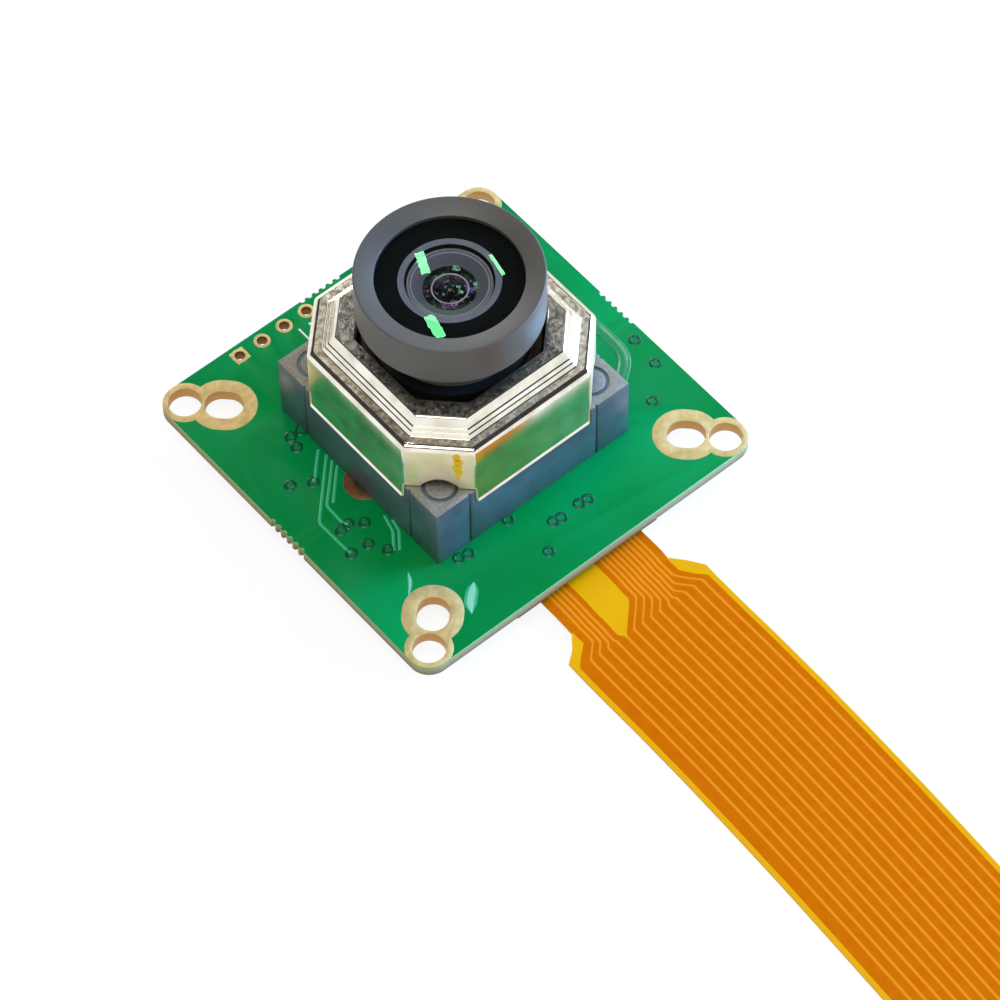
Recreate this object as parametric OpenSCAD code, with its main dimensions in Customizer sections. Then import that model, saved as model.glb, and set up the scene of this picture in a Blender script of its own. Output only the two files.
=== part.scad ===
// Autofocus camera module: a lens in a voice-coil actuator on a small square
// circuit board, with a flat flex cable plugged into the rear of the board.
// Frame: millimetres, +Z along the optical axis towards the scene. The origin is the
// centre of the four corner holes, on the rear face of the board. The cable leaves along -Y.

/* [Circuit board] */
// Side of the square board
board_w = 38; // [37:0.5:42]
// Thickness of the board
board_t = 1.2; // [0.8:0.1:1.6]
// Radius of the board's corners
board_corner_r = 2; // [1.5:0.1:2.2]
// Diameter of the corner fixing holes, inside their plating
hole_d = 3; // [2.4:0.1:3.2]
// Distance from the board's edges to the centre of a corner hole
hole_inset = 2; // [1.9:0.05:2.3]
// Width of the diagonal slot beside each corner hole
slot_w = 2.9; // [2.4:0.1:3.2]
// Length of the diagonal slot, end to end
slot_len = 3.5; // [3.4:0.1:4]
// Web between a corner hole and its slot
corner_web = 0.25; // [0.2:0.05:0.4]
// Width of the bare copper round a corner hole
hole_rim = 0.63; // [0.4:0.05:0.8]
// Width of the bare copper round a slot
slot_rim = 1.25; // [0.8:0.05:1.4]
// Thickness of the copper lands
land_t = 0.05; // [0.04:0.01:0.08]
// Thickness of the plating in the holes
plating_t = 0.05; // [0.04:0.01:0.08]

/* [Pin header and holder holes] */
// Number of header holes
header_count = 4; // [2:1:6]
// Distance between header holes
header_pitch = 2.54; // [2:0.01:2.54]
// Diameter of a header hole, inside its plating
header_hole_d = 0.95; // [0.8:0.05:1]
// Diameter of a header hole's land
header_land_d = 1.55; // [1.3:0.05:1.6]
// Distance from the board's side edge to the first header hole
header_start = 8.9; // [7.5:0.1:9.5]
// Distance from the board's rear edge to the header holes
header_inset = 1.15; // [1.05:0.05:1.6]
// Distance between the two spare holder holes
holder_pitch = 20.5; // [20:0.1:21]
// Diameter of a spare holder hole, inside its plating
holder_hole_d = 1.9; // [1.6:0.1:2.2]
// Diameter of a spare holder hole's land
holder_land_d = 3.85; // [3:0.05:4]

/* [Panel break-off bites] */
// Number of half-round bites in an edge
bite_count = 6; // [3:1:8]
// Distance between bites
bite_pitch = 0.8; // [0.7:0.05:1]
// Radius of a bite
bite_r = 0.25; // [0.15:0.01:0.3]

/* [Image sensor] */
// Size of the sensor package along X
sensor_w = 12.4; // [11:0.2:13]
// Size of the sensor package along Y
sensor_d = 11.2; // [10:0.2:12]
// Height of the sensor package
sensor_h = 1.1; // [1:0.05:1.2]
// Width of the wall round the package's well
sensor_wall = 1.3; // [1:0.1:1.6]
// Depth of the package's well
sensor_well = 0.65; // [0.5:0.05:0.8]
// Gap between the die and the walls of the well
die_gap = 0.5; // [0.3:0.05:0.8]
// Thickness of the die
die_t = 0.35; // [0.2:0.05:0.45]
// Thickness of the sensor's cover glass
cover_glass_t = 0.5; // [0.3:0.05:0.6]
// Distance from the package's edge to the cover glass
cover_glass_edge = 0.4; // [0.2:0.1:0.6]
// Gap above the cover glass
cover_glass_gap = 0.5; // [0.2:0.05:0.8]

/* [Actuator base] */
// Side of the square moulded base
base_w = 21.8; // [21:0.1:23]
// Height of the base's side walls
base_h = 5.5; // [5.3:0.1:6.5]
// Height of the corner posts above the side walls
post_rise = 1.7; // [1:0.1:2.2]
// Gap between the can and the base's corner posts
post_gap = 0.05; // [0.03:0.01:0.1]
// Gap between the lens barrel and its well in the base
well_gap = 0.25; // [0.2:0.05:0.4]
// Width of the ring in the base that stops the carrier
stop_w = 0.9; // [0.7:0.1:1]
// Gap between the sensor package and the base's inner wall
sensor_gap = 1.4; // [0.8:0.1:1.6]
// Thickness of the floor that carries the filter
base_floor_t = 1.2; // [0.9:0.1:1.4]
// Length of the filter
filter_w = 10.4; // [9.5:0.1:10.8]
// Width of the filter
filter_d = 9.4; // [8:0.1:10.2]
// Thickness of the filter
filter_t = 0.3; // [0.2:0.05:0.4]
// Width of the ledge that carries the filter
filter_ledge = 0.7; // [0.4:0.1:1]
// Depth of the filter's recess in the floor
filter_recess = 0.45; // [0.4:0.05:0.6]
// Gap round the edge of the filter
filter_gap = 0.1; // [0.05:0.05:0.2]
// Radius of the locating pin on a corner post
post_pin_r = 1.3; // [0.9:0.05:1.4]
// Width of the groove round a locating pin
pin_groove_w = 0.3; // [0.15:0.05:0.35]
// Depth of the groove round a locating pin
pin_groove_depth = 0.4; // [0.2:0.1:0.8]
// Distance from the optical axis to a locating pin
post_pin_at = 12.1; // [11.9:0.05:12.3]
// Wall between the base's inner chamber and a corner post
chamber_wall = 0.65; // [0.5:0.05:0.8]
// Distance from a corner post's inner side to the upright groove beside it
side_groove_at = 0.65; // [0.5:0.05:0.9]
// Width of the upright grooves beside the posts
side_groove_w = 0.2; // [0.1:0.05:0.4]
// Depth of the upright grooves
side_groove_depth = 0.15; // [0.1:0.05:0.4]
// Diameter of the two pegs that locate the base in the board
peg_d = 1.2; // [0.9:0.1:1.4]
// Gap round a peg
peg_gap = 0.05; // [0.05:0.01:0.1]
// Distance from the optical axis to a peg
peg_at = 12.2; // [12:0.1:12.6]

/* [Actuator can] */
// Distance across the can's narrow faces, less the distance across its wide faces
can_corner_w = 2.8; // [2.6:0.1:3]
// Sheet thickness of the can
can_t = 0.3; // [0.2:0.05:0.35]
// Height of the outer ledge above the base's side walls
can_ledge_rise = 7.4; // [7.2:0.1:8.5]
// Outer radius of the bend at the shoulder
shoulder_r = 0.6; // [0.4:0.05:0.8]
// Distance from the can's side to the first step
can_ledge_w = 1.35; // [1.2:0.05:1.4]
// Height of the first step
step_1_rise = 0.7; // [0.5:0.05:0.8]
// Slope of the first step, as its width in plan
step_1_run = 0.3; // [0.2:0.05:0.35]
// Width of the ledge between the steps
step_ledge_w = 0.35; // [0.2:0.05:0.4]
// Height of the second step
step_2_rise = 0.8; // [0.6:0.05:0.9]
// Slope of the second step, as its width in plan
step_2_run = 0.35; // [0.2:0.05:0.4]
// Width of the can's top, from the second step to the opening
can_top_w = 1.15; // [0.9:0.05:1.2]
// Distance across the opening's narrow faces, less the distance across its wide faces
opening_corner_w = 1.5; // [1.2:0.1:2]
// Height of the arch over a locating pin
arch_rise = 1.4; // [1:0.1:1.6]
// Half the width of the arch
arch_r = 1.7; // [1.65:0.05:1.8]

/* [Focus drive] */
// Travel of the lens along the optical axis
focus_travel = 0.4; // [0.2:0.05:0.45]
// Thickness of the leaf springs
spring_t = 0.08; // [0.05:0.01:0.1]
// Width of a spring arm
spring_arm_w = 0.25; // [0.15:0.05:0.3]
// Width of the upper spring's frame, beside the can's wide faces
spring_frame_w = 1.4; // [1.2:0.1:1.5]
// Width of the tabs between a spring's arms and its rings
spring_root_w = 0.4; // [0.3:0.05:0.5]
// Running gap between the springs and the can
spring_gap = 0.2; // [0.15:0.05:0.25]
// Number of arms on a leaf spring
spring_arm_count = 4; // [3:1:4]
// Gap between the lens thread and the carrier's bore
thread_gap = 0.05; // [0.04:0.01:0.08]
// Wall of the carrier
carrier_wall = 0.9; // [0.8:0.05:1]
// Height of the coil winding
coil_h = 3.6; // [3:0.1:3.8]
// Thickness of the coil winding
coil_t = 0.75; // [0.5:0.05:0.8]
// Thickness of the carrier's flanges
flange_t = 0.5; // [0.4:0.05:0.6]
// How far the flanges stand out past the coil
flange_proud = 0.15; // [0.1:0.05:0.2]
// Air gap between the coil and the magnets
magnet_gap = 0.6; // [0.5:0.05:0.8]
// Width of a magnet along its narrow face
magnet_w = 6; // [5:0.1:6]
// How far the magnets reach above and below the coil
magnet_over = 0.25; // [0.1:0.05:0.3]
// Thickness of the frame between the magnets and the upper spring
spacer_t = 0.4; // [0.3:0.05:0.5]
// Gap between the top of the carrier and the can, with the lens at its full travel
carrier_gap = 0.2; // [0.15:0.05:0.3]
// Gap between the upper spring and the can's outer ledge
ledge_gap = 0.05; // [0.03:0.01:0.1]
// Distance between the two coil terminals
terminal_pitch = 3; // [2:0.5:5]
// Width of a coil terminal
terminal_w = 0.7; // [0.5:0.1:1]
// Thickness of a coil terminal
terminal_t = 0.25; // [0.2:0.05:0.3]
// Length of a coil terminal's foot
terminal_foot = 0.7; // [0.5:0.1:0.9]

/* [Lens] */
// Diameter of the lens head
head_d = 16.6; // [16:0.1:17.5]
// Height of the lens head
head_h = 4.6; // [4:0.1:5.5]
// Gap between the lens head and the top of the can
head_gap = 2.7; // [1.2:0.1:3.2]
// Chamfer on the head's outer edges
head_chamfer = 0.25; // [0.1:0.05:0.4]
// Depth of the dished front face, from its outer edge to its opening
dish_depth = 0.5; // [0.2:0.05:0.6]
// Diameter of the lens barrel's thread
thread_d = 12; // [11.6:0.1:12.2]
// Diameter of the collar under the head
collar_d = 13; // [12.4:0.1:13.6]
// Height of the collar under the head
collar_h = 1.4; // [1:0.1:1.8]
// Gap between the base's floor and the rear of the lens barrel
barrel_gap = 1.2; // [0.6:0.1:1.6]
// Diameter of the front element
front_glass_d = 12.9; // [12.4:0.1:13.2]
// Thickness of the front element at its edge
front_edge_t = 0.5; // [0.4:0.05:0.8]
// Height of the front element's crown
front_crown = 0.35; // [0.2:0.05:0.45]
// Diameter of the hollow in the rear of the front element
front_hollow_d = 8.7; // [8:0.1:9]
// Depth of the hollow in the rear of the front element
front_hollow = 0.45; // [0.3:0.05:0.5]
// Diameter of the front group's elements
front_group_d = 9.2; // [8.6:0.1:9.3]
// Thickness of the second element at its edge
second_edge_t = 1.6; // [1.2:0.1:1.8]
// Thickness of the third element at its edge
third_edge_t = 1.8; // [1.4:0.1:2]
// Height of the spacer between the second and third elements
front_spacer_h = 2.8; // [2.2:0.1:3.2]
// Diameter of the rear group's elements
rear_group_d = 7.6; // [7:0.1:7.8]
// Thickness of the fourth element at its edge
fourth_edge_t = 1.7; // [1.4:0.1:2]
// Thickness of the rear element at its edge
rear_edge_t = 1.5; // [1.2:0.1:1.8]
// Height of the spacer in the rear group
rear_spacer_h = 2.2; // [1.8:0.1:2.6]
// Diameter of the aperture
aperture_d = 4.4; // [3:0.1:5]
// Thickness of the web that holds the aperture
aperture_t = 0.4; // [0.3:0.05:0.6]
// Radial width of the spacers and of the retaining ring
spacer_w = 0.6; // [0.4:0.05:0.8]
// Height of the rear retaining ring
retainer_h = 0.9; // [0.6:0.05:1.2]
// Depth of the front element's edge below the rim of its seat
front_seat_depth = 0.35; // [0.2:0.05:0.5]
// Gap between the edges of the first two elements
first_air_gap = 0.2; // [0.15:0.05:0.3]
// Gap round a glass element in its seat
glass_gap = 0.05; // [0.03:0.01:0.08]

/* [Cable connector] */
// Width of the connector
connector_w = 16.4; // [15.6:0.2:17]
// Height of the connector
connector_h = 2; // [1.8:0.1:2.2]
// Depth of the connector's housing
connector_d = 4.6; // [4.2:0.1:5.2]
// Distance from the board's edge in to the closed latch's face
latch_inset = 0.85; // [0.5:0.05:1]
// Depth of the latch's bar
latch_bar_d = 0.9; // [0.7:0.05:1.1]
// Travel of the latch
latch_travel = 1; // [0.6:0.1:1.2]
// Running gap round the latch
latch_gap = 0.1; // [0.08:0.01:0.15]
// Thickness of the latch's tongue
tongue_t = 0.14; // [0.12:0.01:0.16]
// Number of contacts in the connector
contact_count = 22; // [10:2:22]
// Distance between contacts
contact_pitch = 0.5; // [0.4:0.01:0.5]
// Width of a contact
contact_w = 0.2; // [0.15:0.01:0.25]
// Thickness of a contact's metal
contact_t = 0.15; // [0.12:0.01:0.18]
// Depth of the housing's rear wall
connector_wall = 0.6; // [0.5:0.1:0.8]
// Distance from the housing's low face to the latch's arms
arm_inset = 0.55; // [0.5:0.05:0.6]
// Width of a latch's arm
arm_w = 0.7; // [0.6:0.05:0.8]
// Depth of the housing behind the latch's arms
arm_stop = 1.6; // [1.4:0.1:2]
// How far the cable reaches into the housing
flex_insert = 3.2; // [2.8:0.1:3.4]
// Gap between the cable's stiffener and the latch's tongue
tongue_gap = 0.03; // [0.02:0.01:0.05]
// Thickness of the floor under the contacts
connector_floor_t = 0.45; // [0.35:0.05:0.5]

/* [Flex cable] */
// Thickness of the flex cable
flex_t = 0.2; // [0.15:0.01:0.22]
// Width of the cable's neck, at the connector
flex_neck_w = 11.5; // [11.2:0.1:12]
// Width of the cable
flex_w = 15.8; // [15:0.2:18]
// Thickness of the stiffeners on the cable's ends
stiffener_t = 0.14; // [0.1:0.01:0.16]
// Thickness of the contacts' metal on the cable's ends
contact_leaf = 0.03; // [0.02:0.01:0.04]
// Width of a contact on the near end
near_contact_w = 0.3; // [0.2:0.02:0.34]
// Length of a contact on the near end
near_contact_len = 2.4; // [2:0.1:2.6]
// Length of the stiffener on the far end
far_stiffener_len = 8; // [5:0.5:10]
// Number of contacts on the far end
far_contact_count = 15; // [10:1:15]
// Distance between contacts on the far end
far_contact_pitch = 1; // [0.8:0.1:1]
// Width of a contact on the far end
far_contact_w = 0.6; // [0.4:0.05:0.7]
// Length of a contact on the far end
far_contact_len = 4; // [3:0.5:5]

/* [Rear parts] */
// Side of a power inductor
inductor_w = 4; // [3:0.2:4.4]
// Length of a regulator's body
regulator_w = 2.9; // [2.4:0.1:3.1]
// Width of a regulator's body
regulator_d = 1.6; // [1.2:0.1:1.8]
// Height of a regulator
regulator_h = 1.1; // [0.8:0.1:1.3]
// Gap between a regulator's body and the board
regulator_stand = 0.05; // [0.05:0.01:0.1]
// Distance between a regulator's leads
lead_pitch = 0.95; // [0.8:0.05:1]
// Width of a regulator's lead
lead_w = 0.4; // [0.3:0.05:0.45]
// Length of a regulator's lead along the board
lead_len = 0.6; // [0.4:0.05:0.7]
// Thickness of a regulator's lead
lead_t = 0.15; // [0.1:0.01:0.18]
// Length of the clock oscillator
oscillator_w = 3.2; // [2.5:0.1:3.4]
// Width of the clock oscillator
oscillator_d = 2.5; // [2:0.1:2.7]
// Height of the clock oscillator
oscillator_h = 0.9; // [0.7:0.1:1.1]
// Side of the actuator driver
driver_w = 2; // [1.6:0.1:2.4]
// Length of the memory chip
memory_w = 3; // [2.4:0.1:3.2]
// Width of the memory chip
memory_d = 2; // [1.6:0.1:2.2]
// Height of the leadless chips
chip_h = 0.6; // [0.5:0.05:0.8]
// Length of a large capacitor
capacitor_w = 1.6; // [1.4:0.1:1.8]
// Width and height of a large capacitor
capacitor_d = 0.8; // [0.6:0.05:0.9]
// Length of a small capacitor or a resistor
small_w = 1; // [0.8:0.05:1.1]
// Width of a small capacitor or a resistor
small_d = 0.5; // [0.4:0.05:0.6]
// Height of a resistor
resistor_h = 0.35; // [0.25:0.05:0.4]

/* [Hidden] */
$fn = 64;
// Small overlap that keeps a cut clear of the face that it starts from
cut = 0.1;

// Board: plan of the corner holes and slots, as distances along a diagonal
half_board = board_w / 2;
hole_pitch = board_w - 2 * hole_inset;
hole_at = hole_pitch / 2 * sqrt(2);
slot_at = hole_at - hole_d / 2 - corner_web - slot_len / 2;
header_x = -half_board + header_start;
header_y = half_board - header_inset;

// Heights above the rear face of the board
z_board = board_t;
z_die = z_board + sensor_h - sensor_well;
z_cover = z_board + sensor_h;
z_floor = z_cover + cover_glass_t + cover_glass_gap;
z_floor_top = z_floor + base_floor_t;
z_wall = z_board + base_h;
z_post = z_wall + post_rise;
z_ledge = z_wall + can_ledge_rise;
z_step = z_ledge + step_1_rise;
z_can = z_step + step_2_rise;
z_head = z_can + head_gap;
z_front = z_head + head_h;

// Can: half distances across its wide and narrow faces
can_flat = base_w / 2;
can_corner = can_flat + can_corner_w / 2;
can_edge = can_corner * sqrt(2) - can_flat;
opening_flat = can_flat - can_ledge_w - step_1_run - step_ledge_w - step_2_run - can_top_w;
opening_corner = opening_flat + opening_corner_w / 2;

// Base
post_in = can_edge + post_gap;
well_r = thread_d / 2 + well_gap;
chamber_r = post_in * sqrt(2) - chamber_wall;
z_filter = z_floor + filter_recess - filter_t;

// Focus drive
carrier_r = thread_d / 2 + thread_gap;
carrier_out_r = carrier_r + carrier_wall;
coil_r = carrier_out_r + coil_t;
flange_r = coil_r + flange_proud;
z_carrier = z_wall + spring_t;
z_upper_spring = z_ledge - can_t - ledge_gap - spring_t;
z_spacer = z_upper_spring - spacer_t;
z_magnet_top = z_spacer;
magnet_h = coil_h + 2 * magnet_over;
z_coil = z_magnet_top - magnet_over - coil_h;
magnet_in = coil_r + magnet_gap;
upper_frame_r = can_flat - can_t - spring_frame_w;
carrier_top = z_can - can_t - focus_travel - carrier_gap;

// Lens: radii of the seats and heights of the elements
front_seat_r = front_glass_d / 2 + glass_gap;
front_group_r = front_group_d / 2 + glass_gap;
rear_group_r = rear_group_d / 2 + glass_gap;
z_rim = z_front - dish_depth;
z_front_glass = z_rim - front_seat_depth - front_edge_t;
z_second = z_front_glass - first_air_gap - second_edge_t;
z_front_spacer = z_second - front_spacer_h;
z_third = z_front_spacer - third_edge_t;
z_aperture = z_third - aperture_t;
z_fourth = z_aperture - fourth_edge_t;
z_rear_spacer = z_fourth - rear_spacer_h;
z_rear = z_rear_spacer - rear_edge_t;
z_retainer = z_rear - retainer_h;
z_barrel = z_floor_top + barrel_gap;

// Connector: the cable's centre plane and the faces along Y
z_flex = -connector_h / 2;
y_latch = -half_board + latch_inset;
y_mouth = y_latch + latch_bar_d;
y_housing = y_mouth + connector_d;
channel_w = flex_neck_w + 0.4;
z_slot_low = -connector_h + connector_floor_t;
z_tongue = z_flex + flex_t / 2 + stiffener_t + tongue_gap;
z_slot_top = z_tongue + tongue_t + latch_gap;
arm_len = connector_d - arm_stop;
y_flex_end = y_mouth + flex_insert;

// Centre line of the cable: [x, y, z, width], chosen by hand, from the connector outwards.
// Its first stretch lies in the connector, and from there it comes down to the table.
neck = flex_neck_w;
flex_route = [
    [0, y_flex_end, z_flex, neck], [0, -19.4, z_flex, neck], [0, -20.4, z_flex, neck],
    [0, -21.4, z_flex - 0.06, neck], [0, -22.4, z_flex - 0.24, neck],
    [0.1, -23.6, z_flex - 0.46, (neck + flex_w) / 2], [0.1, -24.7, z_flex - 0.64, flex_w],
    [0.1, -26, z_flex - 0.78, flex_w], [0.1, -29, z_flex - 0.88, flex_w],
    [0.1, -34, z_flex - 0.89, flex_w], [0, -40, z_flex - 0.89, flex_w],
    [-0.2, -46, z_flex - 0.89, flex_w], [-0.5, -53, z_flex - 0.89, flex_w],
    [-0.9, -60, z_flex - 0.89, flex_w], [-1.4, -68, z_flex - 0.89, flex_w],
    [-2, -77, z_flex - 0.89, flex_w], [-2.7, -87, z_flex - 0.89, flex_w],
    [-3.4, -98, z_flex - 0.89, flex_w], [-4.1, -110, z_flex - 0.89, flex_w],
    [-4.6, -122, z_flex - 0.89, flex_w], [-5, -134, z_flex - 0.89, flex_w],
    [-5.3, -146, z_flex - 0.89, flex_w], [-5.4, -152, z_flex - 0.86, flex_w],
    [-5.5, -156, z_flex - 0.75, flex_w], [-5.5, -165, z_flex - 0.75, flex_w]
];

// ---- shared shapes ----

// The same piece in each of the four quadrants
module quadrants() {
    for (i = [0:3]) rotate([0, 0, 90 * i]) children();
}

// The same piece on each diagonal, at a distance from the optical axis
module on_diagonals(distance) {
    quadrants() rotate([0, 0, 45]) translate([distance, 0, 0]) children();
}

// Plan of a square plate with round corners
module round_square(side, r) {
    square([side - 2 * r, side], center = true);
    square([side, side - 2 * r], center = true);
    quadrants() translate([side / 2 - r, side / 2 - r]) circle(r = r);
}

// Plan of a slot along X, by its length and width
module slot_plan(length, width) {
    square([length - width, width], center = true);
    for (side = [-1, 1]) translate([side * (length - width) / 2, 0]) circle(d = width);
}

// Plan of an octagon, by the half distances across its wide and narrow faces
module octagon(flat, corner) {
    intersection() {
        square(2 * flat, center = true);
        rotate(45) square(2 * corner, center = true);
    }
}

// Upright ring
module ring(r_in, r_out, z, h) {
    translate([0, 0, z]) difference() {
        cylinder(r = r_out, h = h);
        translate([0, 0, -cut]) cylinder(r = r_in, h = h + 2 * cut);
    }
}

// Block centred in plan, standing on a height
module block(w, d, h, z) {
    translate([-w / 2, -d / 2, z]) cube([w, d, h]);
}

// Points of a shallow arc from [r, z] to the axis, which rises by sag; r is the edge radius
function crown(r, z, sag, steps) =
    [for (i = [0:steps]) let (x = r * (1 - i / steps)) [x, z + sag * (1 - pow(x / r, 2))]];

// Glass element turned about the optical axis, with flat seats for the spacers at its edge:
// z is its low edge, t its thickness there, sag_top and sag_low its faces' rises at the axis
module glass_element(r, z, t, sag_top, sag_low, steps = 8) {
    face_r = r - spacer_w;
    low_face = crown(face_r, z, sag_low, steps);
    rotate_extrude() polygon(concat(
        [[r, z], [r, z + t]],
        crown(face_r, z + t, sag_top, steps),
        [for (i = [steps:-1:0]) low_face[i]]
    ));
}

// ---- circuit board ----

module corner_holes_plan(wall) {
    on_diagonals(hole_at) circle(d = hole_d + 2 * wall);
    on_diagonals(slot_at) slot_plan(slot_len + 2 * wall, slot_w + 2 * wall);
}

// Bare copper round a corner hole and its slot, out to the board's edge
module corner_lands_plan() {
    intersection() {
        union() {
            on_diagonals(hole_at) circle(d = hole_d + 2 * hole_rim);
            on_diagonals(slot_at) slot_plan(slot_len + 2 * slot_rim, slot_w + 2 * slot_rim);
        }
        round_square(board_w, board_corner_r);
    }
}

module at_header() {
    for (i = [0:header_count - 1]) translate([header_x + i * header_pitch, header_y]) children();
}

// The first land of the header is square
module header_lands_plan() {
    at_header() circle(d = header_land_d);
    translate([header_x, header_y]) square(header_land_d - 0.1, center = true);
}

module at_holder() {
    for (side = [-1, 1]) translate([side * holder_pitch / 2, 0]) children();
}

module at_pegs() {
    for (turn = [135, 315]) rotate([0, 0, turn]) translate([peg_at, 0, 0]) children();
}

// Half-round bites in the middle of an edge, left by the panel's tabs
module edge_bites() {
    for (i = [0:bite_count - 1])
        translate([half_board, (i - (bite_count - 1) / 2) * bite_pitch]) circle(r = bite_r, $fn = 24);
}

module circuit_board() {
    color("seagreen") difference() {
        linear_extrude(board_t) difference() {
            round_square(board_w, board_corner_r);
            corner_holes_plan(plating_t);
            at_header() circle(d = header_hole_d + 2 * plating_t);
            at_holder() circle(d = holder_hole_d + 2 * plating_t);
            at_pegs() circle(d = peg_d + 2 * peg_gap);
            for (turn = [0, 90, 180]) rotate(turn) edge_bites();
        }
        for (z = [-cut, board_t - land_t]) translate([0, 0, z]) linear_extrude(land_t + cut) {
            corner_lands_plan();
            header_lands_plan();
            at_holder() circle(d = holder_land_d);
        }
    }
}

// Lands on both faces of the board, joined through the holes by their plating
module plated_lands() {
    for (z = [0, board_t - land_t]) translate([0, 0, z]) linear_extrude(land_t) difference() {
        children(0);
        children(1);
    }
    linear_extrude(board_t) difference() {
        children(2);
        children(1);
    }
}

module corner_lands() {
    color("khaki") plated_lands() {
        corner_lands_plan();
        corner_holes_plan(0);
        corner_holes_plan(plating_t);
    }
}

module header_lands() {
    color("khaki") plated_lands() {
        header_lands_plan();
        at_header() circle(d = header_hole_d);
        at_header() circle(d = header_hole_d + 2 * plating_t);
    }
}

module holder_lands() {
    color("khaki") plated_lands() {
        at_holder() circle(d = holder_land_d);
        at_holder() circle(d = holder_hole_d);
        at_holder() circle(d = holder_hole_d + 2 * plating_t);
    }
}

// ---- image sensor ----

well_w = sensor_w - 2 * sensor_wall;
well_d = sensor_d - 2 * sensor_wall;

module sensor_package() {
    color("dimgray") difference() {
        block(sensor_w, sensor_d, sensor_h, z_board);
        block(well_w, well_d, sensor_well + cut, z_die);
    }
}

module sensor_die() {
    color("slategray") block(well_w - 2 * die_gap, well_d - 2 * die_gap, die_t, z_die);
}

module sensor_cover_glass() {
    color("lightblue", 0.5) 
        block(sensor_w - 2 * cover_glass_edge, sensor_d - 2 * cover_glass_edge, cover_glass_t, z_cover);
}

module infrared_filter() {
    color("mediumpurple", 0.6) block(filter_w, filter_d, filter_t, z_filter);
}

// ---- actuator base ----

// Pair of upright grooves that set the posts off from one side of the base
module side_grooves() {
    for (side = [-1, 1])
        translate([
            can_flat - side_groove_depth,
            side * (post_in + side_groove_at) - side_groove_w / 2, z_board - cut
        ]) cube([side_groove_depth + cut, side_groove_w, base_h + post_rise + 2 * cut]);
}

module corner_post() {
    translate([post_in, post_in, z_board])
        cube([can_flat - post_in, can_flat - post_in, base_h + post_rise]);
}

module actuator_base() {
    color("#39454d") difference() {
        union() {
            block(base_w, base_w, base_h, z_board);
            quadrants() corner_post();
        }
        // room for the sensor, the filter's recess and the window above it
        block(sensor_w + 2 * sensor_gap, sensor_d + 2 * sensor_gap, z_floor - z_board + cut, z_board - cut);
        block(filter_w + 2 * filter_gap, filter_d + 2 * filter_gap, filter_recess + cut, z_floor - cut);
        block(filter_w - 2 * filter_ledge, filter_d - 2 * filter_ledge, base_floor_t + cut, z_floor);
        // well for the lens barrel, and the chamber round the stop ring
        translate([0, 0, z_floor_top]) cylinder(r = well_r, h = base_h);
        ring(well_r + stop_w, chamber_r, z_floor_top, base_h);
        // grooves round the locating pins
        on_diagonals(post_pin_at) ring(post_pin_r, post_pin_r + pin_groove_w,
            z_post - pin_groove_depth, pin_groove_depth + cut);
        quadrants() side_grooves();
    }
    color("#39454d") at_pegs() translate([0, 0, land_t]) cylinder(d = peg_d, h = board_t - land_t, $fn = 32);
}

// ---- actuator can ----

// Half of the can's section: shift moves it outwards, inset takes it to the inner face
function can_section(shift, inset) = let (side = can_flat + shift)
    concat(
        [[side - inset, z_wall - (inset > 0 ? cut : 0)]],
        [for (a = [0:18:90]) [
            side - shoulder_r + (shoulder_r - inset) * cos(a),
            z_ledge - shoulder_r + (shoulder_r - inset) * sin(a)
        ]],
        [
            [side - can_ledge_w - inset, z_ledge - inset],
            [side - can_ledge_w - step_1_run - inset, z_step - inset],
            [side - can_ledge_w - step_1_run - step_ledge_w - inset, z_step - inset],
            [side - can_ledge_w - step_1_run - step_ledge_w - step_2_run - inset, z_can - inset]
        ]
    );

// Bar with the can's section, along one pair of faces
module can_bar(shift, inset) {
    half = can_section(shift, inset);
    count = len(half);
    rotate([90, 0, 0]) translate([0, 0, -base_w])
        linear_extrude(2 * base_w) polygon(concat(
            half, [for (i = [count - 1:-1:0]) [-half[i][0], half[i][1]]]
        ));
}

// Octagonal body that the four bars have in common
module can_body(inset) {
    intersection() {
        can_bar(0, inset);
        rotate([0, 0, 90]) can_bar(0, inset);
        rotate([0, 0, 45]) can_bar(can_corner_w / 2, inset);
        rotate([0, 0, 135]) can_bar(can_corner_w / 2, inset);
    }
}

module actuator_can() {
    color("gainsboro") difference() {
        can_body(0);
        can_body(can_t);
        linear_extrude(z_can + cut) octagon(opening_flat, opening_corner);
        // the narrow faces end on the corner posts, with an arch over each locating pin
        quadrants() translate([can_edge, can_edge, z_wall - cut])
            cube([base_w, base_w, post_rise + cut]);
        on_diagonals(can_corner - 2) translate([0, 0, z_post + arch_rise - arch_r])
            rotate([0, 90, 0]) cylinder(r = arch_r, h = 4, $fn = 48);
    }
}

module yoke_magnets() {
    color("darkgray") on_diagonals(magnet_in)
        translate([0, -magnet_w / 2, z_magnet_top - magnet_h])
            cube([can_corner - can_t - magnet_in, magnet_w, magnet_h]);
}

// ---- leaf springs ----

module ring_plan(r_in, r_out) {
    difference() {
        circle(r = r_out);
        circle(r = r_in);
    }
}

// Inner ring and the curved arms that reach from it to a frame's inner edge
module spring_arms_plan(r_in, r_out, frame_r) {
    arm_r = (r_out + frame_r) / 2;
    turn = 360 / spring_arm_count;
    sweep = turn - 30;
    ring_plan(r_in, r_out);
    for (i = [0:spring_arm_count - 1]) rotate(turn * i) {
        intersection() {
            ring_plan(arm_r - spring_arm_w / 2, arm_r + spring_arm_w / 2);
            polygon([[0, 0], [2 * frame_r, 0], 2 * frame_r * [cos(sweep), sin(sweep)]]);
        }
        translate([r_out - 0.1, 0]) square([arm_r - r_out + 0.1, spring_root_w]);
        rotate(sweep) translate([arm_r, -spring_root_w])
            square([frame_r - arm_r + 0.2, spring_root_w]);
    }
}

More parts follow.
